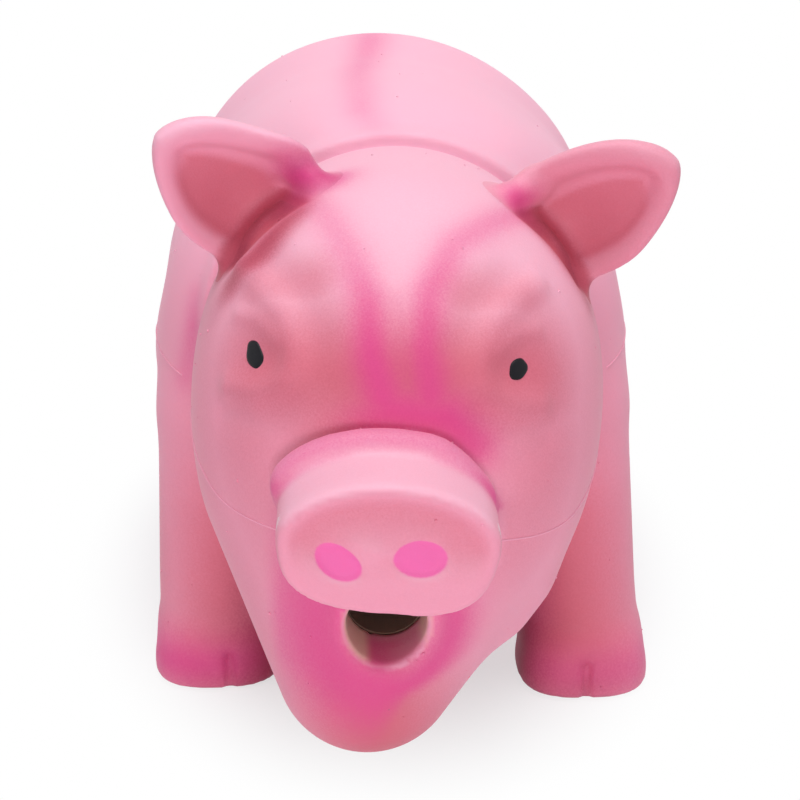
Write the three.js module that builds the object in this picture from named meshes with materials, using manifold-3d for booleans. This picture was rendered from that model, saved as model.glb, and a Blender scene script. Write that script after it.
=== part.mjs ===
// Hollow latex pig toy with a reed grunter glued into its mouth.
// Millimetres, +Z up. The pig faces -Y and stands on z = 0, and its own left is at +X.
// The skin is one moulding on the real toy. It is parted here along its folds into zones,
// so that the zones which bend or are pressed can move.

import * as THREE from "three";
import { mergeVertices } from "three/addons/utils/BufferGeometryUtils.js";
import Module from "manifold-3d";

const wasm = await Module();
wasm.setup();

// Skin walls and the gap left where two zones of the skin part
const SKIN_WALL = 2.4;
const LEG_WALL = 6.6;
const PARTING_GAP = 0.3;

// Torso: a barrel, with shoulders and a rump that fill its ends
const BACK_HEIGHT = 139;
const TORSO_HALF_WIDTH = 57;
const TORSO_HALF_LENGTH = 80;
const TORSO_HALF_HEIGHT = 57;
const SHOULDER_NARROWER = 1;
const SHOULDER_HALF_LENGTH = 46;
const SHOULDER_SHALLOWER = 4;
const SHOULDER_AHEAD = 36;
const RUMP_NARROWER = 0.5;
const RUMP_HALF_LENGTH = 43;
const RUMP_SHALLOWER = 1;
const RUMP_BEHIND = 38;
const RUMP_RISE = 1;
const TORSO_BLEND = 14;

// Legs: tapered columns with a hoof each, and a haunch on the rear pair
const LEG_INSET = 13;
const FRONT_LEG_AHEAD = 56;
const FRONT_LEG_RADIUS = 18;
const REAR_LEG_BEHIND = 49;
const REAR_LEG_RADIUS = 18;
const HAUNCH_HALF_WIDTH = 20;
const HAUNCH_HALF_LENGTH = 27;
const HAUNCH_HALF_HEIGHT = 34;
const HAUNCH_AHEAD = 2;
const HAUNCH_DROP = 4;
const KNEE_DROP = 20;
const ANKLE_HEIGHT = 14;
const ANKLE_RADIUS = 14.3;
const LEG_SPLAY = 6;
const LEG_RAKE = 6;
const FRONT_STEP = 4.5;
const HOOF_HALF_WIDTH = 15.2;
const HOOF_HALF_LENGTH = 16.5;
const HOOF_HALF_HEIGHT = 17;
const HOOF_MID_HEIGHT = 6;
const HOOF_AHEAD = 2.5;
const HOOF_BLEND = 5;
const LEG_BLEND = 9;
const LEG_SEAM = 2;
const LEG_SEAM_DROP = 5;
const SOLE_WALL = 6.5;
const BELLY_CLEAR = 3;

// Head: a skull, a nape that runs into the shoulders, a dropped jaw, and a muzzle that carries the snout
const HEAD_AHEAD = 88;
const HEAD_RISE = 10.5;
const HEAD_LEAN = THREE.MathUtils.degToRad(4.4);
const HEAD_HALF_WIDTH = 41.5;
const HEAD_HALF_LENGTH = 38;
const HEAD_HALF_HEIGHT = 39;
const NAPE_BEHIND = 32;
const NAPE_RISE = 3.5;
const NAPE_HALF_WIDTH = 36.4;
const NAPE_HALF_LENGTH = 20;
const NAPE_HALF_HEIGHT = 35.3;
const JAW_AHEAD = 9;
const JAW_DROP = 19;
const JAW_RADIUS = 41.6;
const CHIN_SIDE = -4;
const CHIN_AHEAD = 35.9;
const CHIN_DROP = 54.9;
const CHIN_RADIUS = 18.7;
const MUZZLE_AHEAD = 18;
const MUZZLE_DROP = 10;
const MUZZLE_RADIUS = 27;
const MUZZLE_TIP_RADIUS = 16;
const MUZZLE_TIP_BEHIND = 9;
const HEAD_BLEND = 12;

// Snout: a flat-faced disc with a wrinkle behind it, domed above and squarer below
const SNOUT_SIDE = -2.7;
const SNOUT_AHEAD = 55;
const SNOUT_DROP = 17;
const SNOUT_TILT = THREE.MathUtils.degToRad(6);
const SNOUT_HALF_WIDTH = 20.6;
const SNOUT_TOP = 14;
const SNOUT_BOTTOM = 13;
const SNOUT_TAPER = 0.14;
const SNOUT_WIDEST = 4;
const SNOUT_TOP_POWER = 2.1;
const SNOUT_BOTTOM_POWER = 3;
const SNOUT_FACE = 11;
const SNOUT_DEPTH = 16;
const WRINKLE_BEHIND = 8;
const WRINKLE_DEPTH = 10;
const WRINKLE_SWELL = 1;
const WRINKLE_BLEND = 2.5;
const SNOUT_EDGE = 4.5;
const SNOUT_BLEND = 4;

// Ears: shallow bowls that stand out of the head
const EAR_DIRECTION = new THREE.Vector3(31.2, 6, 25.9).normalize();
const EAR_REACH = new THREE.Vector3(14.7, -6, 11.7).normalize();
const EAR_FACING = new THREE.Vector3(0.3, -0.8, 0.3);
const EAR_LENGTH = 32;
const EAR_HALF_WIDTH = 15;
const EAR_SHIFT = 2.4;
const EAR_THICKNESS = 5.6;
const EAR_BOWL = 5.4;
const EAR_CURL = 2.5;
const EAR_SINK = 3.4;
const EAR_SETBACK = 3;
const EAR_ROOT = 5;
const EAR_EDGE = 3.2;
const EAR_HINGE = 5;
const EAR_BEND = THREE.MathUtils.degToRad(25);
const EAR_BEND_STEPS = 2;

// Tail: one tapering curl on the rump
const TAIL_ABOVE = 28;
const TAIL_CURL_RADIUS = 6;
const TAIL_TURNS = 1.2;
const TAIL_REACH = 12;
const TAIL_ROOT_RADIUS = 4.4;
const TAIL_TIP_RADIUS = 2.8;
const TAIL_SINK = 3;
const TAIL_STEPS = 18;

// Saddle of the back, which is pressed to work the grunter
const SADDLE_HALF_WIDTH = 30;
const SADDLE_HALF_LENGTH = 44;
const SADDLE_AHEAD = 4;

// Mouth: a hole whose collar grips the grunter's barrel
const MOUTH_SIDE = -1.7;
const MOUTH_DROP = 38.8;
const MOUTH_RADIUS = 7.8;
const MOUTH_DEPTH = 13;
const COLLAR_WALL = 2.8;
const COLLAR_GRIP = 12;

// Grunter: a barrel that holds a reed, closed behind by a guard
const FIT_GAP = 0.3;
const BARREL_RADIUS = 9.5;
const BARREL_WALL = 1.7;
const BARREL_LENGTH = 30;
const PLATE_THICKNESS = 3;
const PLATE_SETBACK = 9;
const TONGUE_WIDTH = 8;
const TONGUE_HEIGHT = 4.6;
const TONGUE_LENGTH = 14;
const TONGUE_WALL = 1.2;
const BLADE_WIDTH = 6;
const BLADE_THICKNESS = 0.5;
const BLADE_LENGTH = 12.5;
const CLIP_LENGTH = 3;
const CLIP_HEIGHT = 2;
const GUARD_THICKNESS = 2;
const GUARD_HOLES = 5;
const GUARD_HOLE_RADIUS = 1.5;
const GUARD_HOLE_CIRCLE = 4.6;

// Mesh sizes
const HEAD_CELL = 6;
const HEAD_INNER_CELL = 12;
const TORSO_CELL = 11.5;
const TORSO_INNER_CELL = 18;
const LEG_CELL = 7.2;
const LEG_INNER_CELL = 9;
const EAR_CELL = 2.7;
const TAIL_CELL = 2.8;
const ROUND_SIDES = 24;
const HOLE_SIDES = 12;
const DOME_STEPS = 5;
const MARGIN = 12;
const SETTLE_ROUNDS = 4;
const SLOPE_STEP = 0.05;
const LEAST_SLOPE = 0.25;
const SEARCH_ROUNDS = 40;

// Places that follow from the sizes
const TORSO = new THREE.Vector3(0, 0, BACK_HEIGHT - TORSO_HALF_HEIGHT);
const SHOULDER_HALF_WIDTH = TORSO_HALF_WIDTH - SHOULDER_NARROWER;
const SHOULDER_HALF_HEIGHT = TORSO_HALF_HEIGHT - SHOULDER_SHALLOWER;
const RUMP_HALF_WIDTH = TORSO_HALF_WIDTH - RUMP_NARROWER;
const RUMP_HALF_HEIGHT = TORSO_HALF_HEIGHT - RUMP_SHALLOWER;
const SHOULDERS = new THREE.Vector3(0, -SHOULDER_AHEAD, TORSO.z);
const RUMP = new THREE.Vector3(0, RUMP_BEHIND, BACK_HEIGHT - RUMP_HALF_HEIGHT + RUMP_RISE);
const HEAD = new THREE.Vector3(0, -HEAD_AHEAD, TORSO.z + HEAD_RISE);
const LEANING = new THREE.Matrix4().makeTranslation(HEAD)
  .multiply(new THREE.Matrix4().makeRotationY(HEAD_LEAN))
  .multiply(new THREE.Matrix4().makeTranslation(HEAD.clone().negate()));
const UPRIGHT = LEANING.clone().invert();
const NAPE = new THREE.Vector3(0, HEAD.y + NAPE_BEHIND, HEAD.z + NAPE_RISE);
const JAW = new THREE.Vector3(0, HEAD.y - JAW_AHEAD, HEAD.z - JAW_DROP);
const CHIN = new THREE.Vector3(CHIN_SIDE, HEAD.y - CHIN_AHEAD, HEAD.z - CHIN_DROP);
const MUZZLE = new THREE.Vector3(0, HEAD.y - MUZZLE_AHEAD, HEAD.z - MUZZLE_DROP);
const SNOUT = new THREE.Vector3(SNOUT_SIDE, HEAD.y - SNOUT_AHEAD, HEAD.z - SNOUT_DROP);
const MUZZLE_TIP = new THREE.Vector3(SNOUT.x, SNOUT.y + MUZZLE_TIP_BEHIND, SNOUT.z);
const LEG_SIDE = TORSO_HALF_WIDTH - LEG_INSET;
const KNEE_HEIGHT = TORSO.z - KNEE_DROP;
const FRONT_LEFT_LEG = frontLeg(FRONT_STEP);
const FRONT_RIGHT_LEG = frontLeg(-FRONT_STEP);
const REAR_LEG = {
  knee: new THREE.Vector3(LEG_SIDE - LEG_SPLAY, REAR_LEG_BEHIND - LEG_RAKE, KNEE_HEIGHT),
  ankle: new THREE.Vector3(LEG_SIDE - LEG_SPLAY / 2, REAR_LEG_BEHIND, ANKLE_HEIGHT),
  radius: REAR_LEG_RADIUS,
};
// Each leg is laid out on the left; a side of -1 is for its mirror image on the right
const LEGS = {
  front_left_leg: { leg: FRONT_LEFT_LEG, side: 1 },
  front_right_leg: { leg: FRONT_RIGHT_LEG, side: -1 },
  rear_left_leg: { leg: REAR_LEG, side: 1 },
  rear_right_leg: { leg: REAR_LEG, side: -1 },
};
const HAUNCH = new THREE.Vector3(
  REAR_LEG.knee.x, REAR_LEG.knee.y - HAUNCH_AHEAD, KNEE_HEIGHT - HAUNCH_DROP);
const MOUTH_HEIGHT = HEAD.z - MOUTH_DROP;
const REACH = 400;

function frontLeg(step) {
  return {
    knee: new THREE.Vector3(LEG_SIDE - LEG_SPLAY, LEG_RAKE - FRONT_LEG_AHEAD, KNEE_HEIGHT),
    ankle: new THREE.Vector3(LEG_SIDE, -FRONT_LEG_AHEAD - step, ANKLE_HEIGHT),
    radius: FRONT_LEG_RADIUS,
  };
}

// Distance fields

function clamp(value, low, high) {
  return Math.min(Math.max(value, low), high);
}

function smoothMin(a, b, blend) {
  const h = clamp(0.5 + (0.5 * (b - a)) / blend, 0, 1);
  return b * (1 - h) + a * h - blend * h * (1 - h);
}

function smoothMax(a, b, blend) {
  return -smoothMin(-a, -b, blend);
}

function ellipsoid(p, centre, halfX, halfY, halfZ) {
  const x = (p.x - centre.x) / halfX;
  const y = (p.y - centre.y) / halfY;
  const z = (p.z - centre.z) / halfZ;
  const k0 = Math.hypot(x, y, z);
  const k1 = Math.hypot(x / halfX, y / halfY, z / halfZ);
  return (k0 * (k0 - 1)) / Math.max(k1, 1e-9);
}

// A ball at each end and the cone that is tangent to both
function roundCone(p, a, b, radiusA, radiusB) {
  const along = b.clone().sub(a);
  const length = along.length();
  const fromA = p.clone().sub(a);
  const t = fromA.dot(along) / length;
  const out = Math.sqrt(Math.max(fromA.lengthSq() - t * t, 0));
  const lean = (radiusA - radiusB) / length;
  const slope = Math.sqrt(1 - lean * lean);
  const k = out * lean - t * slope;
  if (k > 0) {
    return fromA.length() - radiusA;
  }
  if (k < -slope * length) {
    return p.distanceTo(b) - radiusB;
  }
  return out * slope + t * lean - radiusA;
}

// An ellipse that grows squarer as its power rises
function superellipse(x, z, halfX, halfZ, power) {
  const a = Math.abs(x / halfX);
  const b = Math.abs(z / halfZ);
  const k = Math.max((a ** power + b ** power) ** (1 / power), 1e-6);
  const slope = Math.hypot(a ** (power - 1) / halfX, b ** (power - 1) / halfZ) * k ** (1 - power);
  return (k - 1) / Math.max(slope, 1e-3);
}

function torsoField(p, wall) {
  const barrel = ellipsoid(
    p, TORSO, TORSO_HALF_WIDTH - wall, TORSO_HALF_LENGTH - wall, TORSO_HALF_HEIGHT - wall);
  const shoulders = ellipsoid(
    p, SHOULDERS, SHOULDER_HALF_WIDTH - wall, SHOULDER_HALF_LENGTH - wall, SHOULDER_HALF_HEIGHT - wall);
  const rump = ellipsoid(
    p, RUMP, RUMP_HALF_WIDTH - wall, RUMP_HALF_LENGTH - wall, RUMP_HALF_HEIGHT - wall);
  return smoothMin(smoothMin(barrel, shoulders, TORSO_BLEND), rump, TORSO_BLEND);
}

function legField(p, leg) {
  return roundCone(p, leg.knee, leg.ankle, leg.radius, ANKLE_RADIUS);
}

function hoofField(p, leg) {
  const centre = new THREE.Vector3(leg.ankle.x, leg.ankle.y - HOOF_AHEAD, HOOF_MID_HEIGHT);
  return ellipsoid(p, centre, HOOF_HALF_WIDTH, HOOF_HALF_LENGTH, HOOF_HALF_HEIGHT);
}

function haunchField(p, wall) {
  return ellipsoid(
    p, HAUNCH, HAUNCH_HALF_WIDTH - wall, HAUNCH_HALF_LENGTH - wall, HAUNCH_HALF_HEIGHT - wall);
}

function snoutRing(x, z, swell) {
  const half = SNOUT_HALF_WIDTH + SNOUT_TAPER * clamp(z, -SNOUT_BOTTOM, SNOUT_WIDEST);
  if (z > 0) {
    return superellipse(x, z, half + swell, SNOUT_TOP + swell, SNOUT_TOP_POWER);
  }
  return superellipse(x, z, half, SNOUT_BOTTOM, SNOUT_BOTTOM_POWER);
}

function snoutField(p) {
  const q = p.clone().sub(SNOUT);
  const y = Math.cos(SNOUT_TILT) * q.y + Math.sin(SNOUT_TILT) * q.z;
  const z = -Math.sin(SNOUT_TILT) * q.y + Math.cos(SNOUT_TILT) * q.z;
  const discMiddle = SNOUT_DEPTH / 2 - SNOUT_FACE;
  const disc = smoothMax(
    snoutRing(q.x, z, 0), Math.abs(y - discMiddle) - SNOUT_DEPTH / 2, SNOUT_EDGE);
  const wrinkle = smoothMax(
    snoutRing(q.x, z, WRINKLE_SWELL), Math.abs(y - WRINKLE_BEHIND) - WRINKLE_DEPTH / 2, SNOUT_EDGE);
  return smoothMin(disc, wrinkle, WRINKLE_BLEND);
}

// The head before it leans
function uprightHeadField(p) {
  const skull = ellipsoid(p, HEAD, HEAD_HALF_WIDTH, HEAD_HALF_LENGTH, HEAD_HALF_HEIGHT);
  const jaw = roundCone(p, JAW, CHIN, JAW_RADIUS, CHIN_RADIUS);
  const muzzle = roundCone(p, MUZZLE, MUZZLE_TIP, MUZZLE_RADIUS, MUZZLE_TIP_RADIUS);
  const nape = ellipsoid(p, NAPE, NAPE_HALF_WIDTH, NAPE_HALF_LENGTH, NAPE_HALF_HEIGHT);
  const face = smoothMin(smoothMin(skull, jaw, HEAD_BLEND), muzzle, HEAD_BLEND);
  return smoothMin(smoothMin(face, nape, HEAD_BLEND), snoutField(p), SNOUT_BLEND);
}

function headField(p) {
  return uprightHeadField(p.clone().applyMatrix4(UPRIGHT));
}

function bodyField(p) {
  const side = new THREE.Vector3(Math.abs(p.x), p.y, p.z);
  const leg = p.x > 0 ? FRONT_LEFT_LEG : FRONT_RIGHT_LEG;
  const front = smoothMin(legField(side, leg), hoofField(side, leg), HOOF_BLEND);
  const thigh = smoothMin(legField(side, REAR_LEG), haunchField(side, 0), LEG_BLEND);
  const rear = smoothMin(thigh, hoofField(side, REAR_LEG), HOOF_BLEND);
  return smoothMin(torsoField(side, 0), Math.min(front, rear), LEG_BLEND);
}

// The hollow of the body, without the ducts of the legs
function hollowField(p) {
  const side = new THREE.Vector3(Math.abs(p.x), p.y, p.z);
  return smoothMin(torsoField(side, SKIN_WALL), haunchField(side, LEG_WALL), LEG_BLEND);
}

// Solids from fields and from three.js geometries

function boxField(p, box) {
  const x = Math.max(box.min.x - p.x, p.x - box.max.x);
  const y = Math.max(box.min.y - p.y, p.y - box.max.y);
  const z = Math.max(box.min.z - p.z, p.z - box.max.z);
  return Math.max(x, y, z);
}

// Moves a point along the field's slope onto its surface
function settle(p, field, cell) {
  for (let round = 0; round < SETTLE_ROUNDS; round++) {
    const value = field(p);
    const slope = new THREE.Vector3();
    for (const axis of ["x", "y", "z"]) {
      const ahead = p.clone();
      ahead[axis] += SLOPE_STEP;
      slope[axis] = (field(ahead) - value) / SLOPE_STEP;
    }
    const move = value / Math.max(slope.lengthSq(), LEAST_SLOPE);
    p.addScaledVector(slope, -clamp(move, -cell / 4, cell / 4));
  }
  return p;
}

// Closed mesh of the space inside a field and a box: one point in each cell that the surface
// crosses, and one four-sided face on each grid edge that it crosses
function meshField(rawField, box, cell) {
  const field = (p) => Math.max(rawField(p), boxField(p, box));
  const start = box.min.clone().addScalar(-1.5 * cell);
  const size = box.max.clone().sub(box.min);
  const count = ["x", "y", "z"].map((axis) => Math.ceil(size[axis] / cell) + 4);
  const at = (i, j, k) => (k * count[1] + j) * count[0] + i;
  const place = (i, j, k) => new THREE.Vector3(i, j, k).multiplyScalar(cell).add(start);
  const values = new Float64Array(count[0] * count[1] * count[2]);
  for (let k = 0; k < count[2]; k++) {
    for (let j = 0; j < count[1]; j++) {
      for (let i = 0; i < count[0]; i++) {
        values[at(i, j, k)] = field(place(i, j, k));
      }
    }
  }
  const cellPoint = new Map();
  const positions = [];
  const pointIn = (i, j, k) => {
    const key = at(i, j, k);
    if (!cellPoint.has(key)) {
      const point = settle(cellCrossing(values, at, place, i, j, k), field, cell);
      cellPoint.set(key, positions.length / 3);
      positions.push(point.x, point.y, point.z);
    }
    return cellPoint.get(key);
  };
  const triangles = [];
  for (let k = 1; k < count[2] - 1; k++) {
    for (let j = 1; j < count[1] - 1; j++) {
      for (let i = 1; i < count[0] - 1; i++) {
        const here = values[at(i, j, k)] < 0;
        const around = [
          [values[at(i + 1, j, k)] < 0, [[0, -1, -1], [0, 0, -1], [0, 0, 0], [0, -1, 0]]],
          [values[at(i, j + 1, k)] < 0, [[-1, 0, -1], [-1, 0, 0], [0, 0, 0], [0, 0, -1]]],
          [values[at(i, j, k + 1)] < 0, [[-1, -1, 0], [0, -1, 0], [0, 0, 0], [-1, 0, 0]]],
        ];
        for (const [there, cells] of around) {
          if (here !== there) {
            const face = cells.map(([a, b, c]) => pointIn(i + a, j + b, k + c));
            triangles.push(...splitFace(here ? face : face.reverse(), positions));
          }
        }
      }
    }
  }
  const geometry = new THREE.BufferGeometry();
  geometry.setAttribute("position", new THREE.Float32BufferAttribute(positions, 3));
  geometry.setIndex(triangles);
  return geometry;
}

// Mean of the points where a cell's edges cross the surface
function cellCrossing(values, at, place, i, j, k) {
  const sum = new THREE.Vector3();
  let crossings = 0;
  for (let a = 0; a < 8; a++) {
    for (const bit of [1, 2, 4]) {
      if (a & bit) {
        continue;
      }
      const b = a | bit;
      const from = [i + (a & 1), j + ((a >> 1) & 1), k + ((a >> 2) & 1)];
      const to = [i + (b & 1), j + ((b >> 1) & 1), k + ((b >> 2) & 1)];
      const valueA = values[at(...from)];
      const valueB = values[at(...to)];
      if (valueA < 0 !== valueB < 0) {
        sum.add(place(...from).lerp(place(...to), valueA / (valueA - valueB)));
        crossings += 1;
      }
    }
  }
  return sum.divideScalar(crossings);
}

// Two triangles that share a face's shorter diagonal
function splitFace([a, b, c, d], positions) {
  const point = (index) => new THREE.Vector3().fromArray(positions, 3 * index);
  if (point(a).distanceTo(point(c)) <= point(b).distanceTo(point(d))) {
    return [a, b, c, a, c, d];
  }
  return [a, b, d, b, c, d];
}

function signedVolume(positions, triangles) {
  let sum = 0;
  for (let t = 0; t < triangles.length; t += 3) {
    const [a, b, c] = [0, 1, 2].map((n) => new THREE.Vector3().fromArray(positions, 3 * triangles[t + n]));
    sum += a.dot(b.cross(c)) / 6;
  }
  return sum;
}

function solidOf(geometry) {
  const plain = geometry.clone();
  plain.deleteAttribute("normal");
  plain.deleteAttribute("uv");
  const merged = mergeVertices(plain, 1e-4);
  const positions = merged.attributes.position.array;
  const triangles = [];
  for (let t = 0; t < merged.index.count; t += 3) {
    const [a, b, c] = [0, 1, 2].map((n) => merged.index.getX(t + n));
    if (a !== b && b !== c && c !== a) {
      triangles.push(a, b, c);
    }
  }
  if (signedVolume(positions, triangles) < 0) {
    triangles.reverse();
  }
  return new wasm.Manifold(new wasm.Mesh({
    numProp: 3,
    vertProperties: new Float32Array(positions),
    triVerts: new Uint32Array(triangles),
  }));
}

function geometryOf(solid) {
  const mesh = solid.getMesh();
  const geometry = new THREE.BufferGeometry();
  geometry.setAttribute("position", new THREE.BufferAttribute(mesh.vertProperties, 3));
  geometry.setIndex(new THREE.BufferAttribute(mesh.triVerts, 1));
  return geometry;
}

function mirrored(geometry) {
  return geometryOf(solidOf(geometry.clone().applyMatrix4(new THREE.Matrix4().makeScale(-1, 1, 1))));
}

function boxSolid(low, high) {
  const size = high.clone().sub(low);
  const middle = high.clone().add(low).multiplyScalar(0.5);
  return solidOf(new THREE.BoxGeometry(size.x, size.y, size.z).translate(middle.x, middle.y, middle.z));
}

// Turned solid about a line along Y, from points of radius and y
function turned(points, centre, sides) {
  const profile = points.map(([radius, y]) => new THREE.Vector2(radius, y));
  return solidOf(new THREE.LatheGeometry(profile, sides).translate(centre.x, centre.y, centre.z));
}

function rod(radius, fromY, toY, centre, sides = ROUND_SIDES) {
  return turned([[0, fromY], [radius, fromY], [radius, toY], [0, toY]], centre, sides);
}

// First place where a straight line leaves a field's inside
function surfaceAlong(field, inside, direction) {
  let near = 0;
  let far = REACH;
  for (let round = 0; round < SEARCH_ROUNDS; round++) {
    const middle = (near + far) / 2;
    if (field(inside.clone().addScaledVector(direction, middle)) < 0) {
      near = middle;
    } else {
      far = middle;
    }
  }
  return inside.clone().addScaledVector(direction, near);
}

// Cutters that part the skin into its zones

// Upright plug round a leg: wide round the hoof, closing to a dome over the thigh
function legPlug(leg, grow) {
  const hoofReach = HOOF_HALF_LENGTH + HOOF_AHEAD + HOOF_BLEND + FRONT_STEP;
  const belly = TORSO.z - TORSO_HALF_HEIGHT - BELLY_CLEAR;
  const top = KNEE_HEIGHT - LEG_SEAM_DROP;
  const waist = (belly + top) / 2;
  const profile = [
    new THREE.Vector2(0, -MARGIN),
    new THREE.Vector2(hoofReach + grow, -MARGIN),
    new THREE.Vector2(hoofReach + grow, belly),
  ];
  for (let step = 0; step < DOME_STEPS; step++) {
    const angle = (Math.PI / 2) * (step / DOME_STEPS);
    profile.push(new THREE.Vector2(
      (leg.radius + LEG_SEAM + grow) * Math.cos(angle), waist + (top + grow - waist) * Math.sin(angle)));
  }
  profile.push(new THREE.Vector2(0, top + grow));
  const plug = new THREE.LatheGeometry(profile, ROUND_SIDES).rotateX(Math.PI / 2);
  return plug.translate((leg.knee.x + leg.ankle.x) / 2, (leg.knee.y + leg.ankle.y) / 2, 0);
}

// Hollow of a leg, from above its sole up to the middle of the torso
function legDuct(leg) {
  const along = leg.knee.clone().sub(leg.ankle);
  const place = (height) => leg.ankle.clone().addScaledVector(along, (height - leg.ankle.z) / along.z);
  const low = place(SOLE_WALL);
  const high = place(TORSO.z);
  const duct = new THREE.CylinderGeometry(
    leg.radius - LEG_WALL, ANKLE_RADIUS - LEG_WALL, low.distanceTo(high), ROUND_SIDES);
  const upright = new THREE.Vector3(0, 1, 0);
  duct.applyQuaternion(new THREE.Quaternion().setFromUnitVectors(upright, along.normalize()));
  const middle = low.add(high).multiplyScalar(0.5);
  return duct.translate(middle.x, middle.y, middle.z);
}

function saddlePlug(grow) {
  const plug = new THREE.CylinderGeometry(1, 1, REACH, 2 * ROUND_SIDES).rotateX(Math.PI / 2);
  plug.scale(SADDLE_HALF_WIDTH + grow, SADDLE_HALF_LENGTH + grow, 1);
  return solidOf(plug.translate(0, -SADDLE_AHEAD, TORSO.z + REACH / 2));
}

// Zones of the skin

function bodyBox() {
  const high = new THREE.Vector3(LEG_SIDE + FRONT_LEG_RADIUS, RUMP.y + RUMP_HALF_LENGTH, BACK_HEIGHT)
    .addScalar(2 * MARGIN);
  return new THREE.Box3(
    new THREE.Vector3(-high.x, SHOULDERS.y - SHOULDER_HALF_LENGTH - 2 * MARGIN, 0), high);
}

function headBox() {
  const low = new THREE.Vector3(-HEAD_HALF_WIDTH, SNOUT.y - SNOUT_FACE, CHIN.z - CHIN_RADIUS);
  const high = new THREE.Vector3(HEAD_HALF_WIDTH, NAPE.y + NAPE_HALF_LENGTH, HEAD.z + HEAD_HALF_HEIGHT);
  return new THREE.Box3(low, high).expandByScalar(MARGIN);
}

function bodySolid() {
  return solidOf(meshField(bodyField, bodyBox(), TORSO_CELL));
}

// The head grown on all sides
function headSolid(grow) {
  return solidOf(meshField((p) => headField(p) - grow, headBox(), HEAD_CELL));
}

function torsoZones(body) {
  const hollow = solidOf(meshField(hollowField, bodyBox(), TORSO_INNER_CELL));
  const shell = body.subtract(hollow);
  let torso = shell.subtract(headSolid(PARTING_GAP)).subtract(saddlePlug(PARTING_GAP));
  for (const { leg, side } of Object.values(LEGS)) {
    for (const cut of [legPlug(leg, PARTING_GAP), legDuct(leg)]) {
      torso = torso.subtract(solidOf(side > 0 ? cut : mirrored(cut)));
    }
  }
  return { torso, saddle: shell.intersect(saddlePlug(0)) };
}

function legZone({ leg, side }) {
  const reach = leg.radius + HOOF_HALF_LENGTH + MARGIN;
  const low = new THREE.Vector3(leg.ankle.x - reach, leg.ankle.y - reach, -MARGIN);
  const high = new THREE.Vector3(leg.ankle.x + reach, leg.ankle.y + reach, KNEE_HEIGHT + MARGIN);
  const box = new THREE.Box3(low, high);
  const hollow = solidOf(meshField(hollowField, box.clone().expandByScalar(LEG_CELL), LEG_INNER_CELL));
  const floor = boxSolid(new THREE.Vector3(-REACH, -REACH, -REACH), new THREE.Vector3(REACH, REACH, 0));
  const field = (p) => bodyField(new THREE.Vector3(side * p.x, p.y, p.z));
  const zone = solidOf(meshField(field, box, LEG_CELL)).intersect(solidOf(legPlug(leg, 0)));
  const column = geometryOf(zone.subtract(hollow).subtract(solidOf(legDuct(leg))).subtract(floor));
  return solidOf(side > 0 ? column : mirrored(column)).subtract(headSolid(PARTING_GAP));
}

function headZone(body) {
  const outer = headSolid(0);
  const shell = outer.subtract(
    solidOf(meshField((p) => headField(p) + SKIN_WALL, headBox(), HEAD_INNER_CELL)));
  const seat = mouthSeat();
  const collarRadius = BARREL_RADIUS + FIT_GAP + COLLAR_WALL;
  const collar = rod(collarRadius, -2 * MOUTH_DEPTH, COLLAR_GRIP, seat).intersect(outer);
  const bore = rod(MOUTH_RADIUS, -4 * MOUTH_DEPTH, BARREL_LENGTH, seat);
  const socket = rod(BARREL_RADIUS + FIT_GAP, -FIT_GAP, BARREL_LENGTH, seat);
  return shell.subtract(body).add(collar).subtract(bore).subtract(socket);
}

// Middle of the barrel's front end
function mouthSeat() {
  const inside = new THREE.Vector3(MOUTH_SIDE, CHIN.y, MOUTH_HEIGHT).applyMatrix4(LEANING);
  const lip = surfaceAlong(headField, inside, new THREE.Vector3(0, -1, 0));
  return lip.add(new THREE.Vector3(0, MOUTH_DEPTH, 0));
}

// Ears

function earFrame() {
  const u = EAR_REACH.clone();
  const n = EAR_FACING.clone().addScaledVector(u, -EAR_FACING.dot(u)).normalize();
  const v = new THREE.Vector3().crossVectors(n, u);
  const x = EAR_DIRECTION.x / HEAD_HALF_WIDTH;
  const y = EAR_DIRECTION.y / HEAD_HALF_LENGTH;
  const z = EAR_DIRECTION.z / HEAD_HALF_HEIGHT;
  const skull = 1 / Math.hypot(x, y, z);
  const root = HEAD.clone().addScaledVector(EAR_DIRECTION, skull - EAR_SINK);
  return new THREE.Matrix4().makeBasis(u, v, n).setPosition(root);
}

// In the ear's own frame: x from root to tip, y across, z out of the bowl
function earField(p) {
  const across = p.y - EAR_SHIFT;
  const outline = superellipse(p.x, across, EAR_LENGTH, EAR_HALF_WIDTH, 2);
  const rolled = EAR_BOWL * (across / EAR_HALF_WIDTH) ** 2;
  const bowl = rolled + EAR_CURL * clamp(p.x / EAR_LENGTH, 0, 1) ** 2;
  const leaf = Math.abs(p.z - bowl + EAR_SETBACK) - EAR_THICKNESS / 2;
  return smoothMax(smoothMax(outline, leaf, EAR_EDGE), -(p.x + EAR_ROOT), EAR_EDGE);
}

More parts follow.
